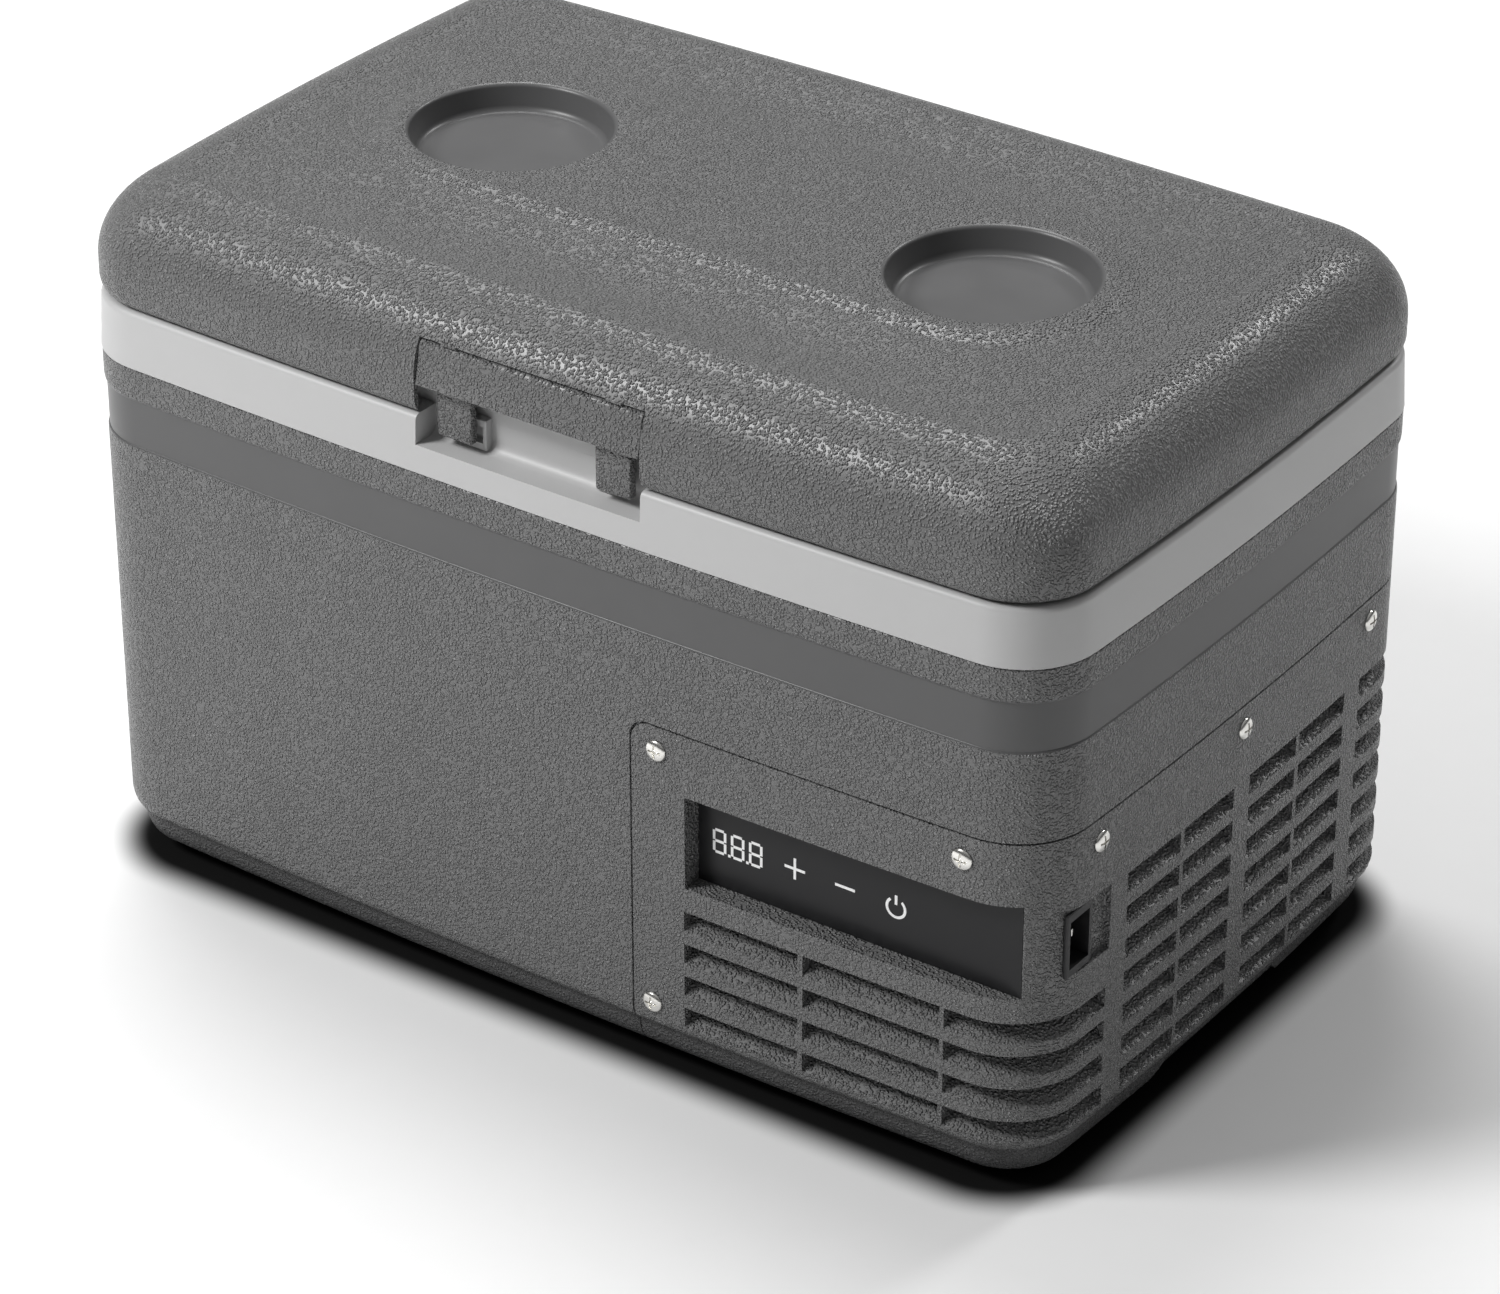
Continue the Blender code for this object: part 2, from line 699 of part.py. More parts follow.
def make_rim_frame():
    rim = loft("rim_frame", rim_profile(), "pale_rim", ring=True)
    half = LATCH_HALF + LATCH_GAP
    front = -(WIDTH / 2 - RIM_WALL)
    back = -(WIDTH / 2 - UPSTAND_INSET)
    housing = box(
        "pocket_housing",
        (-half - RIM_WALL, front, POCKET_FLOOR - RIM_WALL),
        (half + RIM_WALL, back + UPSTAND_WALL / 2, LID_Z - RIM_WALL / 2),
    )
    weld(rim, housing)
    carve(rim, pocket_cutter())
    for side in (-1, 1):
        weld(rim, catch(side, back))
        for ear in (-1, 1):
            weld(rim, hinge_ear(side * HINGE_X + ear * (KNUCKLE_WIDTH + EAR_WIDTH + 2 * HINGE_GAP) / 2))
        bore_from = (side * HINGE_X - KNUCKLE_WIDTH - EAR_WIDTH, HINGE_Y, HINGE_Z)
        bore_to = (side * HINGE_X + KNUCKLE_WIDTH + EAR_WIDTH, HINGE_Y, HINGE_Z)
        carve(rim, rod("hinge_bore", bore_from, bore_to, HINGE_PIN + FIT))
    return rim


def catch(side, back):
    """C-shaped post on the pocket's back wall, behind the inner edge of a latch leg."""
    start = LATCH_HALF - LEG_END - LEG_WIDTH - CATCH_REACH
    low = POCKET_FLOOR + CATCH_LIFT
    high = low + CATCH_HEIGHT
    near, far = sorted((side * start, side * (start + CATCH_WIDTH)))
    post = box("catch", (near, back - CATCH_DEPTH, low), (far, back + UPSTAND_WALL / 2, high))
    near, far = sorted((side * (start + CATCH_WALL), side * (start + CATCH_WIDTH + PAST)))
    carve(post, box("catch_slot", (near, back - PAST, low + CATCH_ARM), (far, back, high - CATCH_ARM)))
    return post


def knuckle_outline(foot_z):
    """Round end on the hinge axis with straight sides to a foot, as (y, z)."""
    down = 1 if foot_z < HINGE_Z else -1
    turns = [math.pi * i / (KNUCKLE_STEPS / 2) for i in range(KNUCKLE_STEPS // 2 + 1)]
    cap = [(HINGE_Y + KNUCKLE_RADIUS * math.cos(t), HINGE_Z + down * KNUCKLE_RADIUS * math.sin(t)) for t in turns]
    return [*cap, (HINGE_Y - KNUCKLE_RADIUS, foot_z), (HINGE_Y + KNUCKLE_RADIUS, foot_z)]


def hinge_ear(x):
    outline = knuckle_outline(LID_Z - RIM_WALL / 2)
    return prism("hinge_ear", outline, "X", x - EAR_WIDTH / 2, x + EAR_WIDTH / 2)


def rounded_outline(x_low, x_high, half_y, radius):
    corners = [(x_high, -half_y, -1), (x_high, half_y, 0), (x_low, half_y, 1), (x_low, -half_y, 2)]
    points = []
    for x, y, quarter in corners:
        centre = complex(x - math.copysign(radius, x - (x_low + x_high) / 2), y - math.copysign(radius, y))
        for i in range(TUB_CORNER_STEPS + 1):
            points.append(centre + cmath.rect(radius, math.pi / 2 * (quarter + i / TUB_CORNER_STEPS)))
    return points


def tub_part(name, x_high, floor_z, top_z, grow):
    """One step of the tub as a drafted solid, grown outward by a wall or a clearance."""
    loops = []
    for z, draft in ((floor_z - grow, TUB_DRAFT), (top_z, 0)):
        points = rounded_outline(
            -TUB_HALF_X + draft - grow,
            x_high - draft + grow,
            TUB_HALF_Y - draft + grow,
            TUB_RADIUS + grow,
        )
        loops.append([(p.real, p.imag, z) for p in points])
    return stack(name, loops)


def tub_parts(grow, top_z):
    return [
        tub_part("tub_shallow", TUB_HALF_X, TUB_STEP_Z, top_z, grow),
        tub_part("tub_deep", TUB_STEP_X, TUB_FLOOR_Z, TUB_STEP_Z + TUB_RADIUS, grow),
    ]


def make_inner_liner():
    flange = UPSTAND_INSET + UPSTAND_WALL + FIT
    liner = loft("inner_liner", [(flange, UPSTAND_TOP - FLANGE_WALL), (flange, UPSTAND_TOP)], "liner_grey")
    weld(liner, *tub_parts(LINER_WALL, UPSTAND_TOP - FLANGE_WALL / 2))
    carve(liner, *tub_parts(0, UPSTAND_TOP + PAST))
    return liner


def coil_relief():
    """Sleeve of space round the deep tub for the evaporator coil."""
    grow = LINER_WALL + COIL_ROOM
    points = rounded_outline(-TUB_HALF_X - grow, TUB_STEP_X + grow, TUB_HALF_Y + grow, TUB_RADIUS + grow)
    low = COIL_Z - COIL_PITCH / 2
    high = COIL_Z + COIL_PITCH * (COIL_TURNS + 0.5)
    return stack("coil_relief", [[(p.real, p.imag, z) for p in points] for z in (low, high)])


def coil_tail_zs():
    return (COIL_Z, COIL_Z + COIL_PITCH * COIL_TURNS)


def make_insulation_foam():
    outer = inner_levels(SHELL_WALL + FIT, PLINTH_Z + SHELL_WALL + FIT, FOAM_TOP)[1:]
    foam = loft("insulation_foam", outer, "foam")
    low = (BULKHEAD_X - FIT, -WIDTH, -PAST)
    high = (LENGTH, WIDTH, BAY_TOP + BULKHEAD_WALL + FIT)
    carve(foam, box("bay_room", low, high), *tub_parts(LINER_WALL + FIT, FOAM_TOP + PAST), coil_relief())
    reach = LENGTH / 2 - PLINTH_INSET - ARCH_DEPTH - ARCH_WALL - FIT
    half = ARCH_HALF_FOOT + ARCH_WALL + FIT
    arch_top = PLINTH_Z + ARCH_HEIGHT + ARCH_WALL + FIT
    carve(foam, box("arch_room", (-LENGTH, -half, 0), (-reach, half, arch_top)))
    for z in coil_tail_zs():
        carve(foam, rod("tail_bore", (TUB_STEP_X, 0, z), (COVER_X, 0, z), COIL_RADIUS + FIT))
    return foam


def make_bulkhead_panel():
    wall = SHELL_WALL + FIT
    base = PLINTH_Z + SHELL_WALL + FIT
    panel = loft("bulkhead_panel", inner_levels(wall, base, BAY_TOP + BULKHEAD_WALL)[1:], "galvanised")
    keep(panel, box("bulkhead_side", (BULKHEAD_X, -WIDTH, 0), (LENGTH, WIDTH, LID_Z)))
    bay = loft("bay_space", inner_levels(wall + LIP_WALL, -PAST, BAY_TOP))
    keep(bay, box("bay_side", (BULKHEAD_X + BULKHEAD_WALL, -WIDTH, -PAST - FIT), (LENGTH, WIDTH, LID_Z)))
    window_low = (COVER_X + COVER_MARGIN - FIT, -WIDTH, -PAST)
    window_high = (LENGTH, WIDTH, COVER_TOP - COVER_MARGIN + FIT)
    carve(panel, bay, box("cover_window", window_low, window_high))
    for z in coil_tail_zs():
        carve(panel, rod("tail_bore", (TUB_STEP_X, 0, z), (COVER_X + PAST, 0, z), COIL_RADIUS + FIT))
    carve(panel, *screw_bores())
    return panel


def louvre_path(start, stop):
    """Outline points between two places on the front-right quarter."""
    between = [p for p in quarter_plan(WALL_INSET) if start.real < p.real < stop.real and start.imag < p.imag < stop.imag]
    return [start, *between, stop]


def louvre(path, top_z):
    """Inclined slot that follows the outline and rises inward."""
    loops = []
    for i, point in enumerate(path):
        before = path[max(i - 1, 0)]
        after = path[min(i + 1, len(path) - 1)]
        outward = (after - before) / abs(after - before) * -1j
        corners = []
        for depth, drop in ((-PAST, 0), (-PAST, LOUVRE_HEIGHT), (LOUVRE_WALL + PAST, LOUVRE_HEIGHT), (LOUVRE_WALL + PAST, 0)):
            place = point - outward * depth
            corners.append((place.real, place.imag, top_z - drop + LOUVRE_RISE * depth / LOUVRE_WALL))
        loops.append(corners)
    return stack("louvre", loops)


def mirrored(path):
    """The same path on the back, still running with the outline."""
    return [p.conjugate() for p in reversed(path)]


def louvre_cutters():
    """All slots: front, both corners, end and back, on one set of rows."""
    front = [louvre_path(outline_at(x=a), outline_at(x=b)) for a, b in (FRONT_COLUMN_1, FRONT_COLUMN_2)]
    corner = louvre_path(outline_at(x=CORNER_FROM_X), outline_at(y=-CORNER_TO_Y))
    side = [louvre_path(outline_at(y=-a), outline_at(y=-b)) for a, b in (SIDE_COLUMN_2, SIDE_COLUMN_1)]
    tall = [*side, *map(mirrored, [*side, corner, *front])]
    cutters = []
    for row in range(LOUVRE_ROWS):
        top_z = LOUVRE_TOP - row * LOUVRE_PITCH
        paths = tall + (front + [corner] if row >= FRONT_FIRST_ROW else [])
        cutters += [louvre(path, top_z) for path in paths]
    return cutters


def join(name, items):
    """One cutter object from many that don't meet."""
    bm = bmesh.new()
    for item in items:
        bm.from_mesh(item.data)
        bpy.data.objects.remove(item)
    return add_object(name, bm)


def panel_y(x):
    """Front face of the control lens, which leans a little towards the corner."""
    share = (x - PANEL_X) / (PANEL_END_X - PANEL_X)
    return FRONT_Y + PANEL_DEPTH + (PANEL_END_DEPTH - PANEL_DEPTH) * share


def panel_slab(name, x_low, x_high, front, back, z_margin, finish=None):
    """Slab parallel to the lens, between two depths behind its front face."""
    outline = [
        (x_low, panel_y(x_low) + front),
        (x_high, panel_y(x_high) + front),
        (x_high, panel_y(x_high) + back),
        (x_low, panel_y(x_low) + back),
    ]
    return prism(name, outline, "Z", PANEL_BOTTOM + z_margin, PANEL_TOP - z_margin, finish)


def make_compressor_cover():
    cover = loft("compressor_cover", body_levels(), "grained_dark")
    keep(cover, cover_zone("cover_region", PANEL_GAP))
    seam_z = COVER_TOP - COVER_MARGIN
    top_margin = loft("top_margin", inner_levels(SHELL_WALL, -PAST, LID_Z))
    keep(top_margin, box("above_seam", (0, -WIDTH, seam_z), (LENGTH, WIDTH, RIM_Z)))
    left_margin = loft("left_margin", inner_levels(SHELL_WALL, -PAST, LID_Z))
    keep(left_margin, box("left_of_seam", (0, -WIDTH, -2 * PAST), (COVER_X + COVER_MARGIN, WIDTH, RIM_Z)))
    carve(cover, top_margin, left_margin, loft("bay_cavity", inner_levels(LOUVRE_WALL, -PAST, seam_z + FIT)))
    weld(cover, box(
        "panel_boss",
        (PANEL_X - BOSS_WALL, FRONT_Y + BOSS_SEAM, PANEL_BOTTOM - BOSS_WALL),
        (PANEL_END_X - BOSS_DEPTH, FRONT_Y + BOSS_DEPTH, PANEL_TOP + BOSS_WALL),
    ))
    seat = LENS_THICKNESS + BOARD_THICKNESS + 2 * FIT
    carve(cover, panel_slab("panel_recess", PANEL_X, LENGTH / 2, -PAST - PANEL_DEPTH, 0, 0))
    carve(cover, panel_slab("panel_seat", PANEL_X, PANEL_END_X, -FIT, seat, 0))
    carve(cover, join("louvres", louvre_cutters()))
    carve(cover, arch_cutter(1), *inlet_cutters(), *screw_bores())
    return cover


def make_control_panel():
    x_low = PANEL_X + FIT
    x_high = PANEL_END_X - FIT
    panel_slab("control_lens", x_low, x_high, 0, LENS_THICKNESS, FIT, "lens_black")
    start = LENS_THICKNESS + FIT
    panel_slab("control_board", x_low, x_high, start, start + BOARD_THICKNESS, FIT, "board_green")


def socket_box(name, width, height, x_low, x_high, finish=None):
    """Box on the socket's own axis across the inlet recess."""
    middle = INLET_Y + FIT + SOCKET_WIDTH / 2
    low = (x_low, middle - width / 2, INLET_Z - height / 2)
    high = (x_high, middle + width / 2, INLET_Z + height / 2)
    return box(name, low, high, finish)


def inlet_cutters():
    floor_x = RIGHT_X - INLET_DEPTH
    recess = box(
        "inlet_recess",
        (floor_x, INLET_Y, INLET_Z - INLET_SIZE / 2),
        (LENGTH, INLET_Y + INLET_SIZE, INLET_Z + INLET_SIZE / 2),
    )
    width, height = (size + 2 * (SOCKET_WALL + FIT) for size in SOCKET_OPENING)
    return [recess, socket_box("socket_hole", width, height, floor_x - SOCKET_DEPTH - PAST, LENGTH / 2)]


def make_power_inlet():
    face_x = RIGHT_X - INLET_DEPTH + FIT
    width, height = (size + 2 * SOCKET_WALL for size in SOCKET_OPENING)
    inlet = socket_box("power_inlet", SOCKET_WIDTH, SOCKET_HEIGHT, face_x, face_x + SOCKET_FLANGE, "socket_black")
    weld(inlet, socket_box("socket_body", width, height, face_x - SOCKET_DEPTH, face_x + SOCKET_FLANGE / 2))
    floor_x = face_x - SOCKET_DEPTH + SOCKET_FLOOR
    carve(inlet, socket_box("socket_mouth", *SOCKET_OPENING, floor_x, LENGTH))
    middle = INLET_Y + FIT + SOCKET_WIDTH / 2
    places = [(-PIN_OFFSET_Y, PIN_SPREAD_Z), (-PIN_OFFSET_Y, -PIN_SPREAD_Z), (PIN_OFFSET_Y, 0)]
    for number, (y, z) in enumerate(places, start=1):
        low = (floor_x + FIT, middle + y - PIN_SECTION[0] / 2, INLET_Z + z - PIN_SECTION[1] / 2)
        high = (floor_x + PIN_LENGTH, middle + y + PIN_SECTION[0] / 2, INLET_Z + z + PIN_SECTION[1] / 2)
        box(f"inlet_pin_{number}", low, high, "bright_steel")


def screw_places():
    """Name, point on the cover and outward direction of every cover screw."""
    top = COVER_TOP - SCREW_TOP_DROP
    front = {
        "top_left": (COVER_X + SCREW_TOP_LEFT, top),
        "top_right": (SCREW_RIGHT_X, top),
        "low_left": (COVER_X + SCREW_LOW_LEFT, SCREW_LOW_Z),
    }
    places = []
    for corner, (x, z) in front.items():
        point = outline_at(x=x)
        for side, sign in (("front", 1), ("back", -1)):
            places.append((f"screw_{side}_{corner}", (x, sign * point.imag, z), (0, -sign, 0)))
    for side, y in (("near", -SCREW_SIDE_Y), ("mid", 0), ("far", SCREW_SIDE_Y)):
        x = outline_at(y=-abs(y)).real
        lean = 2 * END_BOW * y / (WIDTH / 2) ** 2
        places.append((f"screw_end_{side}", (x, y, top), Vector((1, lean, 0)).normalized()))
    return places


def screw_bores():
    bores = []
    for name, point, outward in screw_places():
        start = Vector(point) + PAST * Vector(outward)
        stop = Vector(point) - (SCREW_LENGTH + PAST) * Vector(outward)
        bores.append(rod(f"{name}_bore", start, stop, SCREW_SHANK + FIT, SCREW_STEPS))
    return bores


def make_cover_screws():
    profile = [
        (0, SCREW_DOME),
        (SCREW_RADIUS * 0.55, SCREW_DOME * 0.9),
        (SCREW_RADIUS * 0.88, SCREW_DOME * 0.55),
        (SCREW_RADIUS, FIT),
        (SCREW_SHANK, FIT),
        (SCREW_SHANK, -SCREW_LENGTH),
        (0, -SCREW_LENGTH - SCREW_SHANK),
    ]
    for name, point, outward in screw_places():
        lathe(name, profile, SCREW_STEPS, along(point, outward), "bright_steel")


def make_feet():
    profile = [
        (0, FOOT_HEIGHT - FIT),
        (FOOT_RADIUS, FOOT_HEIGHT - FIT),
        (FOOT_RADIUS, FOOT_HEIGHT / 3),
        (FOOT_RADIUS - FOOT_TAPER, 0),
        (0, 0),
    ]
    for x_name, x in (("left", -FOOT_X), ("right", FOOT_X)):
        for y_name, y in (("front", -FOOT_Y), ("back", FOOT_Y)):
            lathe(f"foot_{x_name}_{y_name}", profile, FOOT_STEPS, upright(x, y, 0), "rubber")


def make_base_plate():
    inset = PLINTH_TUCK + LOUVRE_WALL + FIT
    plate = loft("base_plate", [(inset, BASE_Z), (inset, BASE_Z + BASE_WALL)], "galvanised")
    keep(plate, box("bay_floor", (COVER_X + FIT, -WIDTH, -PAST), (LENGTH, WIDTH, WALL_Z)))
    return plate


def make_compressor():
    plate_z = DECK_Z + GROMMET_HEIGHT + FIT
    base = plate_z + PLATE_WALL
    top = base + COMPRESSOR_HEIGHT
    low_dome = COMPRESSOR_RADIUS * 0.30
    seam_z = base + COMPRESSOR_HEIGHT * 0.55
    profile = [(0, top)]
    for i in range(1, 5):
        turn = math.pi / 2 * i / 4
        profile.append((COMPRESSOR_RADIUS * math.sin(turn), top - COMPRESSOR_RADIUS * 0.5 * (1 - math.cos(turn))))
    profile += [
        (COMPRESSOR_RADIUS, seam_z + COMPRESSOR_SEAM),
        (COMPRESSOR_RADIUS + COMPRESSOR_SEAM, seam_z + COMPRESSOR_SEAM),
        (COMPRESSOR_RADIUS + COMPRESSOR_SEAM, seam_z),
        (COMPRESSOR_RADIUS, seam_z),
        (COMPRESSOR_RADIUS, base + low_dome),
        (COMPRESSOR_RADIUS - low_dome / 2, base - PLATE_WALL / 2),
        (0, base - PLATE_WALL / 2),
    ]
    place = upright(COMPRESSOR_X, COMPRESSOR_Y, 0)
    pot = lathe("compressor", profile, COMPRESSOR_STEPS, place, "black_paint")
    low = (COMPRESSOR_X - PLATE_X, COMPRESSOR_Y - PLATE_Y, plate_z)
    high = (COMPRESSOR_X + PLATE_X, COMPRESSOR_Y + PLATE_Y, plate_z + PLATE_WALL)
    weld(pot, box("mounting_plate", low, high))
    for start, stop in stub_ends():
        weld(pot, rod("stub", start, stop, STUB_RADIUS, 12))
    for x_name, x in (("left", -1), ("right", 1)):
        for y_name, y in (("front", -1), ("back", 1)):
            spot_x = COMPRESSOR_X + x * (PLATE_X - GROMMET_EDGE)
            spot_y = COMPRESSOR_Y + y * (PLATE_Y - GROMMET_EDGE)
            low, high = (spot_x, spot_y, DECK_Z), (spot_x, spot_y, DECK_Z + GROMMET_HEIGHT)
            rod(f"grommet_{x_name}_{y_name}", low, high, GROMMET_RADIUS, 16, "rubber")


def stub_ends():
    """Discharge stub out of the side towards the condenser, suction stub out of the dome."""
    deck = DECK_Z + GROMMET_HEIGHT + FIT + PLATE_WALL
    side_z = deck + COMPRESSOR_HEIGHT * 0.64
    side_x = COMPRESSOR_X + COMPRESSOR_RADIUS
    dome_z = deck + COMPRESSOR_HEIGHT
    dome = (COMPRESSOR_X, COMPRESSOR_Y - COMPRESSOR_RADIUS * 0.25)
    return [
        ((side_x - STUB_LENGTH, COMPRESSOR_Y, side_z), (side_x + STUB_LENGTH, COMPRESSOR_Y, side_z)),
        ((*dome, dome_z - STUB_LENGTH), (*dome, dome_z + STUB_LENGTH)),
    ]


def condenser_ports():
    """Ends of the condenser's upper and lower stubs."""
    half = CONDENSER_WIDTH / 2
    high_z = DECK_Z + CONDENSER_HEIGHT * 0.82
    low_z = DECK_Z + CONDENSER_HEIGHT * 0.16
    upper = (CONDENSER_MID_X, half + STUB_LENGTH, high_z)
    lower = (CONDENSER_MID_X, -half - STUB_LENGTH, low_z)
    return upper, lower


def make_condenser():
    """Finned block: a comb-shaped outline drawn up, fins to both faces of a solid core."""
    half = CONDENSER_WIDTH / 2
    pitch = (CONDENSER_WIDTH - FIN_GAP) / CONDENSER_FINS
    core_low = CONDENSER_MID_X - FIN_CORE / 2
    core_high = CONDENSER_MID_X + FIN_CORE / 2
    near, far = [], []
    for i in range(CONDENSER_FINS):
        root = -half + i * pitch
        gap_from = root + pitch - FIN_GAP
        gap_to = root + pitch
        face = [(root, 0), (gap_from, 0), (gap_from, 1), (gap_to, 1)]
        near += [(core_low if deep else CONDENSER_X, y) for y, deep in face]
        far += [(core_high if deep else CONDENSER_X + CONDENSER_THICKNESS, y) for y, deep in face]
    end = half - FIN_GAP
    near[-1] = (CONDENSER_X, end)
    far[-1] = (CONDENSER_X + CONDENSER_THICKNESS, end)
    outline = comb_outline(near[:-2], far[:-2], end)
    block = prism("condenser", outline, "Z", DECK_Z, DECK_Z + CONDENSER_HEIGHT, "aluminium")
    upper, lower = condenser_ports()
    for port, side in ((upper, 1), (lower, -1)):
        inside = (port[0], side * (half - 2 * STUB_LENGTH), port[2])
        weld(block, rod("port", inside, port, STUB_RADIUS, 12))
    return block


def comb_outline(near, far, end):
    """Close the two toothed faces into one outline."""
    near_end = (CONDENSER_X, end)
    far_end = (CONDENSER_X + CONDENSER_THICKNESS, end)
    return [*far, far_end, near_end, *reversed(near)]


def make_fan():
    half = FAN_SIZE / 2
    bore = half - FAN_WALL
    middle = (0, FAN_Z)
    low = (FAN_X, -half, FAN_Z - half)
    high = (FAN_X + FAN_THICKNESS, half, FAN_Z + half)
    frame = box("fan_frame", low, high, "fan_black")
    carve(frame, rod("fan_bore", (FAN_X - PAST, *middle), (FAN_X + FAN_THICKNESS + PAST, *middle), bore, FAN_STEPS))
    strut = FAN_STRUT / 2
    back = FAN_X + FAN_STRUT
    weld(frame, box("strut_y", (FAN_X, -bore - FAN_WALL / 2, FAN_Z - strut), (back, bore + FAN_WALL / 2, FAN_Z + strut)))
    weld(frame, box("strut_z", (FAN_X, -strut, FAN_Z - bore - FAN_WALL / 2), (back, strut, FAN_Z + bore + FAN_WALL / 2)))
    weld(frame, rod("motor_cup", (FAN_X, *middle), (back + FIT, *middle), FAN_HUB, FAN_STEPS))
    rotor_x = back + 2 * FIT
    weld(frame, rod("fan_shaft", (FAN_X, *middle), (rotor_x + FAN_HUB_LENGTH / 2, *middle), FAN_SHAFT, 12))
    rotor_end = rotor_x + FAN_HUB_LENGTH
    rotor = rod("fan_rotor", (rotor_x, *middle), (rotor_end, *middle), FAN_HUB, FAN_STEPS, "fan_black")
    for i in range(FAN_BLADES):
        weld(rotor, fan_blade(2 * math.pi * i / FAN_BLADES, (rotor_x + rotor_end) / 2, bore - FAN_TIP_GAP))
    bore_end = rotor_x + FAN_HUB_LENGTH / 2 + FIT
    carve(rotor, rod("rotor_bore", (FAN_X, *middle), (bore_end, *middle), FAN_SHAFT + FIT, 12))
    return rotor


def fan_blade(turn, x, tip):
    """Pitched blade from inside the hub to the tip circle."""
    bm = bmesh.new()
    bmesh.ops.create_cube(bm, size=1.0)
    root = FAN_HUB * 0.8
    chord = FAN_HUB_LENGTH / math.cos(FAN_BLADE_PITCH) * 0.80
    bmesh.ops.scale(bm, vec=(FAN_BLADE_WALL, chord, tip - root), verts=bm.verts)
    pitch = Matrix.Rotation(math.pi / 2 - FAN_BLADE_PITCH, 4, "Z")
    out = Matrix.Translation((0, 0, (tip + root) / 2))
    spin = Matrix.Rotation(turn, 4, "X")
    bmesh.ops.transform(bm, matrix=Matrix.Translation((x, 0, FAN_Z)) @ spin @ out @ pitch, verts=bm.verts)
    return add_object("fan_blade", bm)


def make_control_module():
    """Drive electronics in a finned box on the base plate."""
    x, y = MODULE_LOW
    width, depth, height = MODULE_SIZE
    module = box("control_module", (x, y, DECK_Z), (x + width, y + depth, DECK_Z + height), "aluminium")
    pitch = width / MODULE_FINS
    top = DECK_Z + height
    for i in range(1, MODULE_FINS):
        low = (x + i * pitch - FIN_GAP / 2, y - PAST, top - MODULE_FIN_DEPTH)
        high = (x + i * pitch + FIN_GAP / 2, y + depth + PAST, top + PAST)
        carve(module, box("module_groove", low, high))
    return module


def drier_ends():
    low = (DRIER_X, DRIER_Y, DRIER_Z - DRIER_NECK)
    high = (DRIER_X, DRIER_Y, DRIER_Z + DRIER_LENGTH + DRIER_NECK)
    return low, high


def make_drier():
    low, high = drier_ends()
    taper = DRIER_RADIUS
    profile = [
        (0, high[2]),
        (LINE_RADIUS, high[2]),
        (LINE_RADIUS, DRIER_Z + DRIER_LENGTH),
        (DRIER_RADIUS, DRIER_Z + DRIER_LENGTH - taper),
        (DRIER_RADIUS, DRIER_Z + taper),
        (LINE_RADIUS, DRIER_Z),
        (LINE_RADIUS, low[2]),
        (0, low[2]),
    ]
    lathe("filter_drier", profile, 16, upright(DRIER_X, DRIER_Y, 0), "copper")


def coil_route():
    """Rounded turns round the deep tub from one tail to the other."""
    grow = LINER_WALL + FIT + COIL_RADIUS
    points = rounded_outline(-TUB_HALF_X - grow, TUB_STEP_X + grow, TUB_HALF_Y + grow, TUB_RADIUS + grow)
    steps = TUB_CORNER_STEPS + 1
    points = points[steps:] + points[:steps]
    lap = [complex(TUB_STEP_X + grow, 0), *points]
    lengths = np.cumsum([0, *[abs(b - a) for a, b in zip(lap, [*lap[1:], lap[0]])]])
    route = []
    for turn in range(COIL_TURNS):
        for point, run in zip(lap, lengths):
            route.append(Vector((point.real, point.imag, COIL_Z + COIL_PITCH * (turn + run / lengths[-1]))))
    low, high = coil_tail_zs()
    tail_x = COVER_X + COIL_TAIL
    return [Vector((tail_x, 0, low)), *route, Vector((TUB_STEP_X + grow, 0, high)), Vector((tail_x, 0, high))]


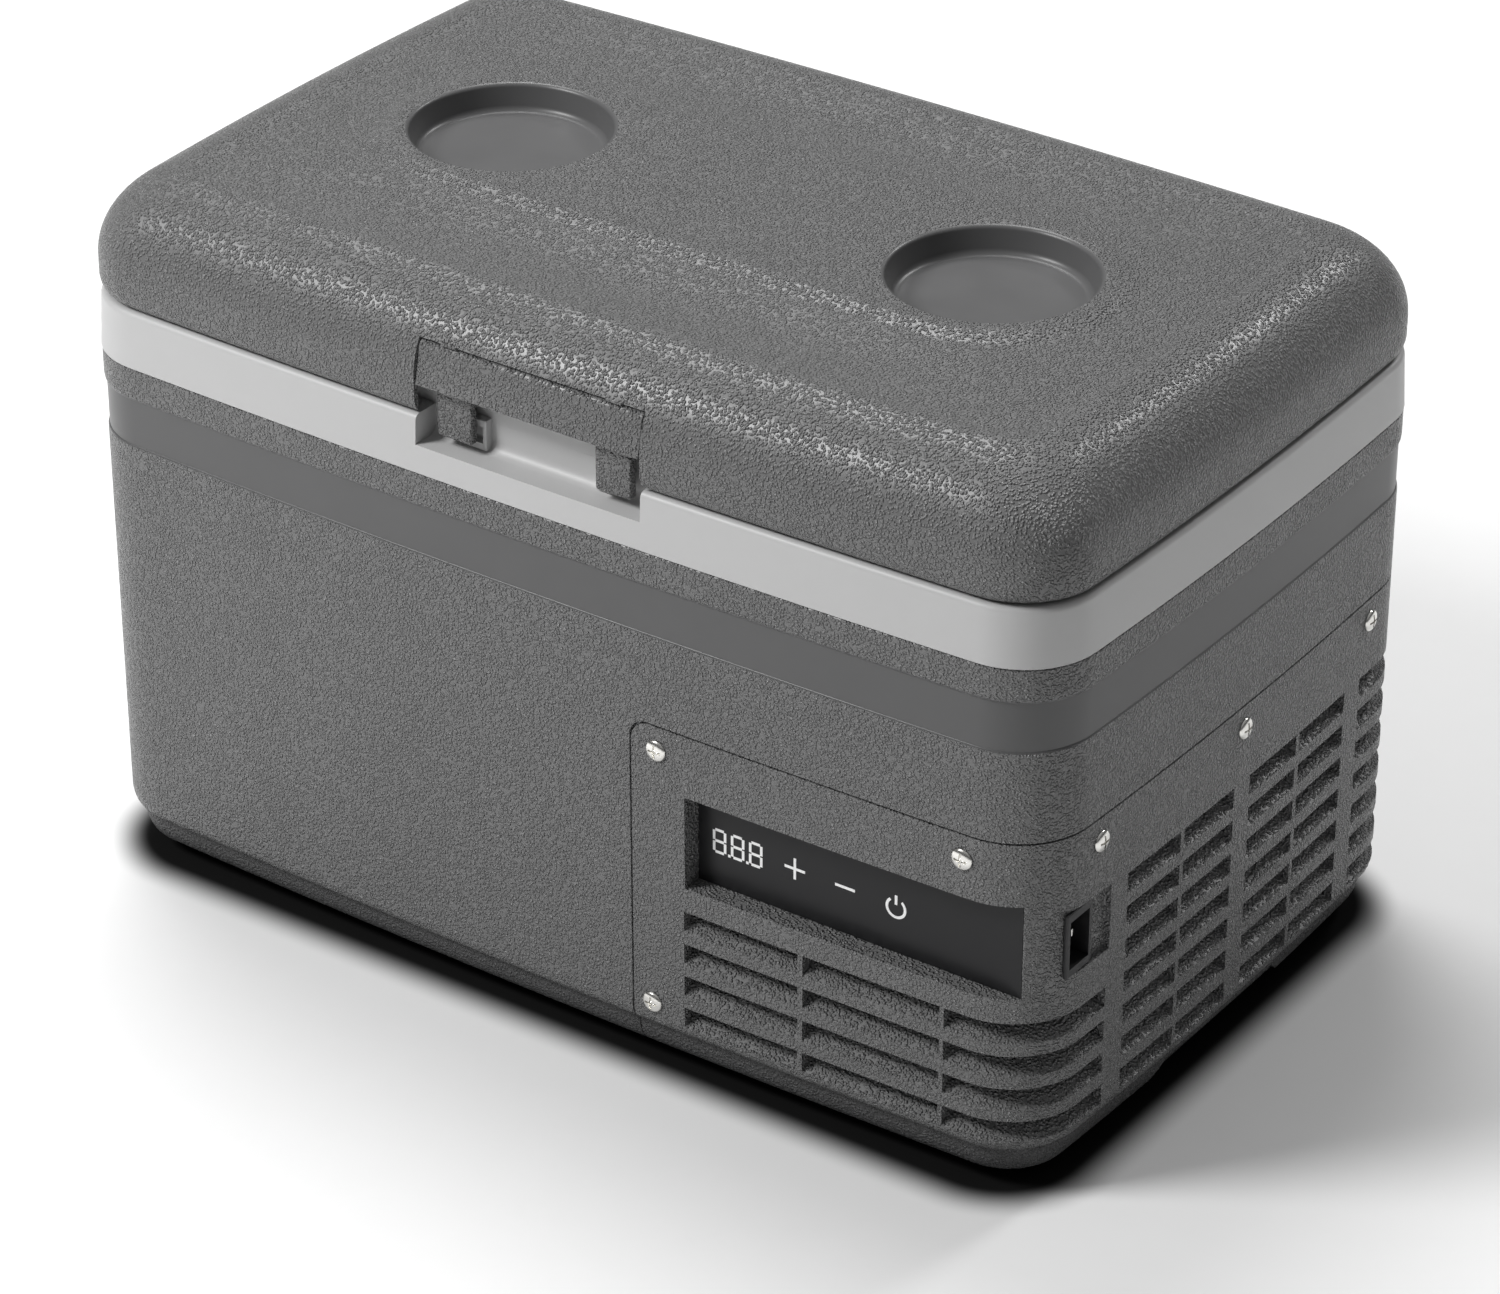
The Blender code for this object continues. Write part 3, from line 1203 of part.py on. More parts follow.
def make_refrigerant_lines():
    tube("evaporator_coil", coil_route(), COIL_RADIUS, "copper")
    low, high = coil_tail_zs()
    tail_x = COVER_X + COIL_TAIL + FIT
    (_, discharge), (_, suction) = stub_ends()
    upper, lower = condenser_ports()
    drier_low, drier_high = drier_ends()
    suction_route = [
        (tail_x, 0, high),
        (tail_x + LINE_BEND, 0, high),
        (suction[0] - 2 * LINE_BEND, LINE_RUN, high),
        (suction[0] - LINE_RUN, suction[1] / 2, high),
        (suction[0], suction[1], suction[2] + LINE_BEND),
        (suction[0], suction[1], suction[2] + FIT),
    ]
    tube("suction_line", smooth_route(suction_route), LINE_RADIUS, "copper")
    discharge_route = [
        (discharge[0] + FIT, discharge[1], discharge[2]),
        (discharge[0] + LINE_RUN, discharge[1], discharge[2]),
        (discharge[0] + 2 * LINE_BEND, discharge[1] + LINE_BEND, (discharge[2] + upper[2]) / 2),
        (upper[0] - LINE_BEND, upper[1] + LINE_BEND, upper[2]),
        (upper[0], upper[1] + LINE_RUN, upper[2]),
        (upper[0], upper[1] + FIT, upper[2]),
    ]
    tube("discharge_line", smooth_route(discharge_route), LINE_RADIUS, "copper")
    liquid_route = [
        (lower[0], lower[1] - FIT, lower[2]),
        (lower[0], lower[1] - LINE_RUN, lower[2]),
        (lower[0] - LINE_BEND, lower[1] - LINE_BEND, (lower[2] + drier_low[2]) / 2),
        (DRIER_X + LINE_BEND, DRIER_Y - LINE_RUN / 2, drier_low[2] - LINE_RUN),
        (DRIER_X, DRIER_Y, drier_low[2] - LINE_RUN),
        (DRIER_X, DRIER_Y, drier_low[2] - FIT),
    ]
    tube("liquid_line", smooth_route(liquid_route), LINE_RADIUS, "copper")
    middle_x = (tail_x + DRIER_X) / 2
    capillary_route = [
        (tail_x, 0, low),
        (tail_x + LINE_RUN, 0, low),
        (tail_x + 2 * LINE_BEND, -LINE_BEND, low + LINE_RUN),
        (middle_x, DRIER_Y / 2, low + LINE_BEND),
        (DRIER_X - 2 * LINE_BEND, DRIER_Y + 2 * LINE_BEND, drier_high[2] + LINE_RUN),
        (DRIER_X - LINE_RUN, DRIER_Y + LINE_RUN / 2, drier_high[2] + LINE_BEND),
        (DRIER_X, DRIER_Y, drier_high[2] + LINE_RUN),
        (DRIER_X, DRIER_Y, drier_high[2] + FIT),
    ]
    tube("capillary", smooth_route(capillary_route), CAPILLARY_RADIUS, "copper")


def plateau_rise(x, y):
    """1 on the raised stadium round the cups, falling to 0 past its slope."""
    past_cup = max(abs(x) - CUP_X, 0)
    distance = math.hypot(past_cup, y)
    share = min(max((distance - PLATEAU_RADIUS) / PLATEAU_SLOPE, 0), 1)
    return 1 - share * share * (3 - 2 * share)


def scoop(x, y):
    """Long shallow hollows in front of and behind the raised stadium."""
    across = (abs(y) - SCOOP_Y) / SCOOP_HALF_WIDTH
    along_x = x / SCOOP_HALF_LENGTH
    if abs(across) >= 1 or abs(along_x) >= 1:
        return 0
    return SCOOP_DEPTH * (1 - across * across) ** 2 * (1 - along_x * along_x)


def lid_top(x, y):
    """Height of the lid's upper surface inside its shoulder."""
    raised = plateau_rise(x, y)
    return TOP_Z - (1 - raised) * (CROWN_DROP + scoop(x, y))


def lid_loops(wall, start_z, rings):
    """Loops of the lid's skin at a depth inside it, from a height on its side up to the crown."""
    spring_z = LID_Z + LID_SIDE_HEIGHT
    loops = [level(LID_INSET + wall, start_z, LID_CORNER_SHRINK)] if start_z < spring_z else []
    radius = LID_SHOULDER - wall
    rise = TOP_Z - CROWN_DROP / 3 - wall - spring_z
    first = math.asin(max(start_z - spring_z, 0) / rise)
    for i in range(LID_SHOULDER_STEPS):
        turn = first + (math.pi / 2 - first) * i / LID_SHOULDER_STEPS
        inset = LID_INSET + LID_SHOULDER - radius * math.cos(turn)
        loops.append(level(inset, spring_z + rise * math.sin(turn), LID_CORNER_SHRINK))
    for inset in rings:
        ring = level(inset, 0, LID_CORNER_SHRINK)
        loops.append([(x, y, lid_top(x, y) - wall) for x, y, _ in ring])
    return loops


def cup_cutter(x, grow):
    """Round recess with a rolled rim and a filleted floor; grown, it is the boss under it."""
    floor_z = TOP_Z - CUP_DEPTH - grow
    if grow:
        profile = [(CUP_RADIUS + CUP_RIM_ROUND + grow, TOP_Z + PAST), (CUP_FLOOR_RADIUS + grow, floor_z)]
        return lathe("cup_boss", profile, CUP_STEPS, upright(x, 0, 0))
    rim = CUP_RADIUS + CUP_RIM_ROUND
    profile = [(rim, TOP_Z + PAST), (rim, TOP_Z + FIT / 3)]
    for i in range(1, 4):
        turn = math.pi / 2 * i / 3
        profile.append((rim - CUP_RIM_ROUND * math.sin(turn), TOP_Z - CUP_RIM_ROUND * (1 - math.cos(turn))))
    for i in range(4):
        turn = math.pi / 2 * i / 3
        profile.append((CUP_FLOOR_RADIUS - CUP_FILLET * (1 - math.cos(turn)), floor_z + CUP_FILLET * (1 - math.sin(turn))))
    return lathe("cup_cutter", profile, CUP_STEPS, upright(x, 0, 0))


def notch_box(name, grow, low_z):
    """Room for the latch in the lid's front, or its housing when grown."""
    half = LATCH_HALF + LATCH_GAP + grow
    back = -(WIDTH / 2 - NOTCH_DEPTH) + grow
    top = LATCH_Z + LATCH_BARREL + LATCH_GAP + grow
    return box(name, (-half, -WIDTH, low_z), (half, back, top))


def make_lid_shell():
    under = [
        level(LID_INSET + LID_UNDERCUT, LID_Z + FIT, LID_CORNER_SHRINK),
        level(LID_INSET + LID_UNDERCUT * 0.29, LID_Z + LID_UNDER_HEIGHT * 0.29, LID_CORNER_SHRINK),
        level(LID_INSET + LID_UNDERCUT * 0.06, LID_Z + LID_UNDER_HEIGHT * 0.64, LID_CORNER_SHRINK),
    ]
    skin = under + lid_loops(0, LID_Z + LID_UNDER_HEIGHT, LID_RINGS)
    lid = stack("lid_shell", skin, "grained_dark")
    cavity = stack("lid_cavity", lid_loops(LID_WALL, LID_Z - PAST, LID_INNER_RINGS))
    carve(cavity, *[cup_cutter(side * CUP_X, LID_WALL) for side in (-1, 1)])
    housing = notch_box("notch_housing", LID_WALL, UPSTAND_TOP + UPSTAND_WALL / 2)
    carve(cavity, housing)
    mouth = level(LID_INSET + LID_UNDERCUT + FIT, LID_Z - PAST, LID_CORNER_SHRINK)
    carve(lid, *[cup_cutter(side * CUP_X, 0) for side in (-1, 1)], cavity)
    carve(lid, stack("lid_mouth", [mouth, [(x, y, LID_Z + LID_UNDER_HEIGHT) for x, y, _ in mouth]]))
    carve(lid, notch_box("latch_notch", 0, LID_Z - PAST))
    for side in (-1, 1):
        add_lid_knuckle(lid, side * HINGE_X)
        start = (side * (LATCH_HALF - LATCH_PIN_LENGTH), LATCH_Y, LATCH_Z)
        stop = (side * (LATCH_HALF + LATCH_GAP + LID_WALL + PAST), LATCH_Y, LATCH_Z)
        carve(lid, rod("latch_pin_bore", start, stop, LATCH_PIN + FIT))
    return lid


def add_lid_knuckle(lid, x):
    """Cut the skirt away round the hinge ears, then hang the lid's own knuckle between them."""
    half = KNUCKLE_WIDTH / 2
    room = half + EAR_WIDTH + HINGE_GAP + HINGE_NOTCH_ROOM
    top = HINGE_Z + KNUCKLE_RADIUS + HINGE_NOTCH_ROOM
    front = HINGE_Y - KNUCKLE_RADIUS - HINGE_NOTCH_ROOM
    carve(lid, box("hinge_notch", (x - room, front, LID_Z - PAST), (x + room, WIDTH, top)))
    knuckle = prism("lid_knuckle", knuckle_outline(HINGE_Z + HINGE_WEB), "X", x - half, x + half)
    weld(lid, knuckle)
    start, stop = (x - 2 * half, HINGE_Y, HINGE_Z), (x + 2 * half, HINGE_Y, HINGE_Z)
    carve(lid, rod("knuckle_bore", start, stop, HINGE_PIN + FIT))


def knuckle_clearance(x):
    """Space round a lid knuckle's web inside the lid."""
    half = KNUCKLE_WIDTH / 2 + FIT
    low = (x - half, HINGE_Y - KNUCKLE_RADIUS - FIT, LID_Z - PAST)
    high = (x + half, WIDTH, HINGE_Z + HINGE_WEB + FIT)
    return box("knuckle_clearance", low, high)


def lid_plate_loops(outset, lift):
    """Tray that closes the lid's underside and dips into the tub's mouth."""
    edge = LID_INSET + LID_WALL + LID_PLATE_GAP + outset
    return [
        level(PLUG_INSET + LID_PLATE_WALL + outset, LID_PLATE_Z - PLUG_DROP + LID_PLATE_WALL + lift),
        level(PLUG_INSET + LID_PLATE_WALL + outset, LID_PLATE_Z + LID_PLATE_WALL + lift),
        level(edge, LID_PLATE_Z + LID_PLATE_WALL + lift, LID_CORNER_SHRINK),
    ]


def make_lid_liner():
    edge = LID_INSET + LID_WALL + LID_PLATE_GAP
    loops = [
        *lid_plate_loops(0, 0),
        level(edge, LID_PLATE_Z, LID_CORNER_SHRINK),
        level(PLUG_INSET, LID_PLATE_Z),
        level(PLUG_INSET, LID_PLATE_Z - PLUG_DROP),
    ]
    plate = stack("lid_liner", loops, "liner_grey")
    carve(plate, notch_box("liner_notch", LID_WALL + FIT, LID_Z - PAST))
    carve(plate, *[knuckle_clearance(side * HINGE_X) for side in (-1, 1)])
    return plate


def make_lid_foam():
    start = LID_PLATE_Z + LID_PLATE_WALL + FIT
    foam = stack("lid_foam", lid_loops(LID_WALL + FIT, LID_Z - PAST, LID_INNER_RINGS), "foam")
    keep(foam, box("foam_room", (-LENGTH, -WIDTH, start), (LENGTH, WIDTH, TOP_Z + PAST)))
    plug = lid_plate_loops(FIT, FIT)[0]
    weld(foam, stack("foam_plug", [plug, [(x, y, start + LID_PLATE_WALL) for x, y, _ in plug]]))
    carve(foam, *[cup_cutter(side * CUP_X, LID_WALL + FIT) for side in (-1, 1)])
    carve(foam, notch_box("foam_notch", LID_WALL + FIT, LID_Z - PAST))
    carve(foam, *[knuckle_clearance(side * HINGE_X) for side in (-1, 1)])
    return foam


def make_lid_gasket():
    low = UPSTAND_TOP + FIT
    high = LID_PLATE_Z - FIT
    outer, inner = GASKET_INSET, GASKET_INSET + GASKET_WIDTH
    profile = [
        (outer, high),
        (outer, low + GASKET_ROUND),
        (outer + GASKET_ROUND, low),
        (inner - GASKET_ROUND, low),
        (inner, low + GASKET_ROUND),
        (inner, high),
    ]
    return loft("lid_gasket", list(reversed(profile)), "rubber", ring=True)


def make_latch():
    """Bar with a round upper edge on the pivot and two legs that reach into the rim's pocket."""
    foot_z = LID_Z + LATCH_FOOT_LIFT
    foot_front = -(WIDTH / 2 - LID_INSET - FIT)
    cap = []
    for i in range(LATCH_STEPS // 2 + 1):
        turn = math.pi * i / (LATCH_STEPS / 2)
        cap.append((LATCH_Y + LATCH_BARREL * math.cos(turn), LATCH_Z + LATCH_BARREL * math.sin(turn)))
    outline = [*cap, (foot_front, foot_z), (foot_front + LATCH_THICKNESS, foot_z)]
    latch = prism("latch", outline, "X", -LATCH_HALF, LATCH_HALF, "grained_dark")
    leg_front = -(WIDTH / 2 - LEG_INSET)
    for side in (-1, 1):
        outer = side * (LATCH_HALF - LEG_END)
        near, far = sorted((outer, outer - side * LEG_WIDTH))
        low = (near, leg_front, POCKET_FLOOR + LEG_CLEAR)
        weld(latch, box("leg", low, (far, leg_front + LEG_THICKNESS, foot_z + LEG_THICKNESS)))
        start = (side * (LATCH_HALF - LATCH_PIN_LENGTH), LATCH_Y, LATCH_Z)
        carve(latch, rod("pin_bore", start, (side * WIDTH, LATCH_Y, LATCH_Z), LATCH_PIN + FIT))
    return latch


def make_pins():
    half = KNUCKLE_WIDTH / 2 + HINGE_GAP + EAR_WIDTH
    for name, side in (("left", -1), ("right", 1)):
        start = (side * HINGE_X - half, HINGE_Y, HINGE_Z)
        stop = (side * HINGE_X + half, HINGE_Y, HINGE_Z)
        rod(f"hinge_pin_{name}", start, stop, HINGE_PIN, finish="bright_steel")
        start = (side * (LATCH_HALF - LATCH_PIN_LENGTH + FIT), LATCH_Y, LATCH_Z)
        stop = (side * (LATCH_HALF + LATCH_GAP + LID_WALL), LATCH_Y, LATCH_Z)
        rod(f"latch_pin_{name}", start, stop, LATCH_PIN, finish="bright_steel")


def carry(empty_name, place, nodes, parent=None):
    """Empty on a joint's axis that carries the pieces turning about it."""
    empty = bpy.data.objects.new(empty_name, None)
    bpy.context.scene.collection.objects.link(empty)
    empty.location = place
    bpy.context.view_layer.update()
    if parent:
        empty.parent = parent
        empty.matrix_parent_inverse = parent.matrix_world.inverted()
    for node in nodes:
        item = bpy.data.objects[node]
        item.parent = empty
        item.matrix_parent_inverse = Matrix.Translation(place).inverted()
    return empty


def build():
    clear_scene()
    make_outer_shell()
    make_rim_frame()
    make_inner_liner()
    make_insulation_foam()
    make_bulkhead_panel()
    make_compressor_cover()
    make_control_panel()
    make_power_inlet()
    make_cover_screws()
    make_feet()
    make_base_plate()
    make_compressor()
    make_condenser()
    make_fan()
    make_control_module()
    make_drier()
    make_refrigerant_lines()
    make_lid_shell()
    make_lid_liner()
    make_lid_foam()
    make_lid_gasket()
    make_latch()
    make_pins()
    for item in bpy.data.objects:
        if item.type == "MESH":
            tidy_faces(item)
    lid_nodes = ["lid_shell", "lid_liner", "lid_foam", "lid_gasket", "latch_pin_left", "latch_pin_right"]
    lid_hinge = carry("lid_hinge", (0, HINGE_Y, HINGE_Z), lid_nodes)
    carry("latch_hinge", (0, LATCH_Y, LATCH_Z), ["latch"], lid_hinge)
    carry("fan_axle", (FAN_X, 0, FAN_Z), ["fan_rotor"])


build()
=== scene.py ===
# %% [markdown]
# # A portable compressor cooler on its CAD frame
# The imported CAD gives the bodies, the joints and the solids that MuJoCo moves. This lesson builds
# the surfaces that a camera sees, in the same frame: metres, +X to the compressor bay, -Y to the
# front with latch and display, +Z up. Every piece rides the CAD body that it belongs to.

import cmath
import json
import math

import bmesh
import bpy
import numpy as np
from mathutils import Matrix, Vector


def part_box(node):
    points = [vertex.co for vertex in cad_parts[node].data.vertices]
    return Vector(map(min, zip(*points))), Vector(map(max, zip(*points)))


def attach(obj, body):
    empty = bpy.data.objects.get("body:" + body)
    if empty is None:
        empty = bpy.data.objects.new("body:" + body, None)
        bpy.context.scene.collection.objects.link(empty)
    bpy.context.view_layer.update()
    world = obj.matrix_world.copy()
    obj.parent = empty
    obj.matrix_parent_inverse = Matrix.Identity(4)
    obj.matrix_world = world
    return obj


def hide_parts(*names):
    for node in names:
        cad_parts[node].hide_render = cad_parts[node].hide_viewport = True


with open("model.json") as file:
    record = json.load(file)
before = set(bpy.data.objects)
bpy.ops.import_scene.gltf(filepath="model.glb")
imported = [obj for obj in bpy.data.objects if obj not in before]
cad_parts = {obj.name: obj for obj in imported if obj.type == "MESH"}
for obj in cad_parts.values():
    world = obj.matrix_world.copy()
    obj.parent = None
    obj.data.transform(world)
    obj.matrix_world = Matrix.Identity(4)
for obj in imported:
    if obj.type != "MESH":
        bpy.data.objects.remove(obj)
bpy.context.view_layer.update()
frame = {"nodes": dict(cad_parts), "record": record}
print("CAD nodes:", len(frame["nodes"]))

# %% [markdown]
# ## Sizes
# The body is a stack of forms on one outline. Each form lies a little inside the outline, and the
# heights run up from the floor: feet, plinth, wall, smooth band, collar, pale rim, lid.

# %% Outline and heights
LENGTH = 0.570
WIDTH = 0.3505
CORNER_RADIUS = 0.040
CORNER_LEAST = 0.003
FRONT_BOW = 0.0055
END_BOW = 0.005
FRONT_STEPS = 14
CORNER_STEPS = 14
END_STEPS = 10
PLINTH_Z = 0.008
WALL_Z = 0.0245
BAND_Z = 0.2403
COLLAR_Z = 0.2651
RIM_Z = 0.283
LID_Z = 0.3125
TOP_Z = 0.374
WALL_INSET = 0.0008
BAND_INSET = 0.0015
COLLAR_INSET = 0.0003
PLINTH_INSET = 0.005
PLINTH_STEP = 0.001
PLINTH_TUCK = 0.013
WALL_ROUND = 0.0085
SHOULDER_ROUND = 0.0022
COLLAR_ROUND = 0.004
FIT = 0.0003
PAST = 0.010
SHELL_WALL = 0.004
ARCH_HALF_TOP = 0.049
ARCH_HALF_FOOT = 0.062
ARCH_HEIGHT = 0.011
ARCH_DEPTH = 0.009
FRONT_Y = -(WIDTH / 2 - WALL_INSET)
RIGHT_X = LENGTH / 2 - WALL_INSET

# %% Cover, display and inlet
COVER_X = LENGTH / 2 - 0.228
COVER_TOP = 0.193
COVER_CORNER = 0.010
COVER_MARGIN = 0.025
PANEL_GAP = 0.001
LOUVRE_WALL = 0.012
LOUVRE_TOP = 0.1505
LOUVRE_PITCH = 0.018
LOUVRE_HEIGHT = 0.011
LOUVRE_RISE = 0.007
TALL_ROWS = 7
SHORT_ROWS = 4
PANEL_X = COVER_X + 0.031
PANEL_END_X = COVER_X + 0.2095
PANEL_TOP = 0.1595
PANEL_BOTTOM = 0.1095
PANEL_DEPTH = 0.0115
PANEL_END_DEPTH = 0.0132
LENS_THICKNESS = 0.0025
SEAT_DEPTH = 0.0047
BOSS_DEPTH = 0.021
BOSS_WALL = 0.0035
BOSS_SEAM = 0.006
INLET_Y = -(WIDTH / 2 - 0.02825)
INLET_Z = 0.1345
INLET_SIZE = 0.035
INLET_DEPTH = 0.0055
SOCKET_WIDTH = 0.0205
SOCKET_HEIGHT = 0.034
SOCKET_FLANGE = 0.002
SOCKET_OPENING = (0.016, 0.0255)
SOCKET_WALL = 0.0015
SOCKET_DEPTH = 0.022
SOCKET_FLOOR = 0.004
FRONT_SLOTS = ((0.0304, 0.0944), (0.0971, 0.1718))
CORNER_SLOT = (0.1740, -0.3252)
SIDE_SLOTS = ((-0.2810, -0.1541), (-0.1455, -0.0205))

# %% Lid, rim, latch and hinges
LID_WALL = 0.003
LID_INSET = 0.0010
LID_UNDERCUT = 0.006
LID_UNDER_HEIGHT = 0.009
LID_SIDE_HEIGHT = 0.0185
LID_SHOULDER = 0.0425
LID_CORNER_SHRINK = 0.45
CROWN_DROP = 0.0030
SCOOP_DEPTH = 0.0035
SCOOP_Y = 0.098
SCOOP_HALF_WIDTH = 0.034
SCOOP_HALF_LENGTH = 0.215
CUP_X = LENGTH / 2 - 0.1455
CUP_RADIUS = 0.04975
CUP_FLOOR_RADIUS = 0.04725
CUP_DEPTH = 0.0135
CUP_RIM_ROUND = 0.0025
CUP_FILLET = 0.004
PLATEAU_RADIUS = CUP_RADIUS + CUP_RIM_ROUND + 0.0065
PLATEAU_SLOPE = 0.009
LID_PLATE_Z = LID_Z + 0.0185
LID_PLATE_WALL = 0.0025
LID_PLATE_GAP = 0.0008
PLUG_INSET = 0.047
PLUG_DROP = 0.011
RIM_WALL = 0.003
RIM_TAPER = 0.0014
RIM_ROUND = 0.003
UPSTAND_INSET = 0.017
UPSTAND_WALL = 0.004
UPSTAND_TOP = LID_Z + 0.0145
POCKET_FLOOR = LID_Z - 0.015
POCKET_FILLET = 0.006
CATCH_WIDTH = 0.012
CATCH_REACH = 0.004
CATCH_DEPTH = 0.0045
CATCH_HEIGHT = 0.0155
CATCH_LIFT = 0.0015
CATCH_WALL = 0.002
CATCH_ARM = 0.0035
LATCH_HALF = 0.0634
LATCH_GAP = 0.001
LATCH_Y = -(WIDTH / 2 - 0.0088)
LATCH_Z = LID_Z + 0.034
LATCH_BARREL = 0.0039
LATCH_FOOT_Z = LID_Z + 0.0165
LATCH_THICKNESS = 0.0065
LEG_WIDTH = 0.020
LEG_END = 0.008
LEG_INSET = 0.0065
LEG_THICKNESS = 0.005
LEG_CLEAR = 0.0055
NOTCH_DEPTH = 0.0165
HINGE_X = LENGTH / 2 - 0.135
HINGE_Y = WIDTH / 2 - 0.00825
HINGE_Z = LID_Z + 0.009
KNUCKLE_RADIUS = 0.005
KNUCKLE_WIDTH = 0.022
EAR_WIDTH = 0.010
HINGE_GAP = 0.0004
HINGE_PIN = 0.002
HINGE_ROOM = 0.0025
KNUCKLE_RISE = 0.0135
TAB_ENDS = (0.012, 0.021)
TAB_HALF_DEPTH = 0.0030

# %% Tub, seal, feet and screws
TUB_INSET = 0.043
TUB_CORNER = 0.024
TUB_DRAFT = 0.004
TUB_FILLET = 0.006
TUB_WALL = 0.0025
TUB_STEP_X = COVER_X - 0.045
TUB_STEP_Z = 0.234
TUB_FLOOR_Z = 0.046
SEAL_OUTER = 0.025
SEAL_INNER = 0.035
SEAL_ROUND = 0.001
FOOT_END = 0.053
FOOT_SIDE = 0.07025
SCREW_DROP = 0.0135
SCREW_LOW_Z = 0.0388
SCREW_TOP_X = (0.0152, 0.1818)
SCREW_LOW_X = 0.0118
SCREW_SIDE = 0.05365
SCREW_BORE = 0.0021
SCREW_HEAD = 0.0055
SCREW_DOME = 0.0022
SCREW_SHANK = 0.0018
print("outside size in mm:", [round(v * 1000) for v in (LENGTH, WIDTH, TOP_Z)])

# %% [markdown]
# ## Finishes
# The moulded plastic has a leather grain: rounded cells about a millimetre across that break the
# light into specks, and its colour is painted darker between the cells and lighter on their tops as
# painted shade and highlight. Everything else is smooth with a faint unevenness, so that no surface
# is dead flat. All patterns use Object coordinates, which here are the frame's own metres.


# %% Material builder
MOTTLE_SCALE = 38.0
GLOSS_SPREAD = 0.06
GRAIN_WARP = 0.0016
GRAIN_HEIGHT = 0.0028
PEBBLE_EDGE = 0.62
PEBBLE_TOP = 0.05
WAVE_HEIGHT = 0.001


def linker(tree):
    """A short way to join sockets: link(node, output, node, input)."""
    return lambda a, output, b, entry: tree.links.new(a.outputs[output], b.inputs[entry])


def fill(node, **values):
    """Set a node's inputs by name, with _ for a space."""
    for name, value in values.items():
        node.inputs[name.replace("_", " ")].default_value = value
    return node


def surface(
    name, colour, roughness, metallic=0.0, grain=0.0, cell=690.0, mottle_and_grain_shade=0.08, wave=0.02, shine=0.5
):
    """Principled finish with cloudy colour, uneven gloss and, if asked for, a raised grain whose colour
    is painted darker in the crevices and lighter on the pebble tops as painted shade and highlight.
    """
    made = bpy.data.materials.new(name)
    made.use_nodes = True
    nodes = made.node_tree.nodes
    link = linker(made.node_tree)
    shader = fill(nodes["Principled BSDF"], Metallic=metallic, Specular_IOR_Level=shine)
    place = nodes.new("ShaderNodeTexCoord")
    mottle = fill(nodes.new("ShaderNodeTexNoise"), Scale=MOTTLE_SCALE, Detail=5.0)
    link(place, "Object", mottle, "Vector")
    tone_and_grain_shade = nodes.new("ShaderNodeMix")
    tone_and_grain_shade.data_type = "RGBA"
    tone_and_grain_shade.inputs["A"].default_value = (*[c * (1 - mottle_and_grain_shade) for c in colour], 1.0)
    tone_and_grain_shade.inputs["B"].default_value = (*[c * (1 + mottle_and_grain_shade) for c in colour], 1.0)
    link(mottle, "Fac", tone_and_grain_shade, "Factor")
    link(tone_and_grain_shade, "Result", shader, "Base Color")
    gloss = nodes.new("ShaderNodeMapRange")
    fill(gloss, To_Min=max(roughness - GLOSS_SPREAD, 0.02), To_Max=roughness + GLOSS_SPREAD)
    link(mottle, "Fac", gloss, "Value")
    link(gloss, "Result", shader, "Roughness")
    bump = nodes.new("ShaderNodeBump")
    link(bump, "Normal", shader, "Normal")
    if not grain:
        link(mottle, "Fac", fill(bump, Strength=wave, Distance=WAVE_HEIGHT), "Height")
        return made
    warp = fill(nodes.new("ShaderNodeTexNoise"), Scale=cell * 0.55, Detail=2.0)
    bend = nodes.new("ShaderNodeVectorMath")
    bend.operation = "MULTIPLY_ADD"
    bend.inputs[1].default_value = (GRAIN_WARP, GRAIN_WARP, GRAIN_WARP)
    cells = nodes.new("ShaderNodeTexVoronoi")
    cells.feature = "SMOOTH_F1"
    fill(cells, Scale=cell, Smoothness=0.35)
    pebble = fill(nodes.new("ShaderNodeMapRange"), From_Min=PEBBLE_EDGE, From_Max=PEBBLE_TOP)
    link(place, "Object", warp, "Vector")
    link(warp, "Color", bend, 0)
    link(place, "Object", bend, 2)
    link(bend, "Vector", cells, "Vector")
    link(cells, "Distance", pebble, "Value")
    link(pebble, "Result", fill(bump, Strength=grain, Distance=GRAIN_HEIGHT), "Height")
    # Painted shade and highlight: on a grain the colour follows the pebble height, darker in the
    # crevices and lighter on the tops.
    link(pebble, "Result", tone_and_grain_shade, "Factor")
    return made


# %% The finishes
# The grained plastic's colour carries painted shade in the crevices and painted highlight on the pebble
# tops.
GRAIN = surface("leather grain plastic", (0.252, 0.252, 0.253), 0.36, grain=1.0, mottle_and_grain_shade=0.45, shine=0.50)
SMOOTH = surface("smooth dark plastic", (0.090, 0.090, 0.091), 0.36, shine=0.40)
# The plinth's darker colour is painted shade for its place tucked in under the wall.
PLINTH_PAINTED_SHADE = surface("plinth plastic with painted shade", (0.105, 0.105, 0.106), 0.45, grain=0.7, mottle_and_grain_shade=0.35, shine=0.30)
PALE = surface("pale grey plastic", (0.48, 0.48, 0.48), 0.45, mottle_and_grain_shade=0.02)
LINER = surface("liner plastic", (0.56, 0.57, 0.58), 0.38, mottle_and_grain_shade=0.02)
LENS = surface("black lens", (0.014, 0.014, 0.015), 0.34, mottle_and_grain_shade=0.05, shine=0.25)
MARKS = surface("white print", (0.86, 0.86, 0.86), 0.55, mottle_and_grain_shade=0.02)
SOCKET = surface("black socket", (0.010, 0.010, 0.011), 0.45)
STEEL = surface("plated steel", (0.78, 0.77, 0.74), 0.22, metallic=1.0, wave=0.05)
RUBBER = surface("black rubber", (0.015, 0.015, 0.015), 0.85, grain=0.10, cell=1600.0)
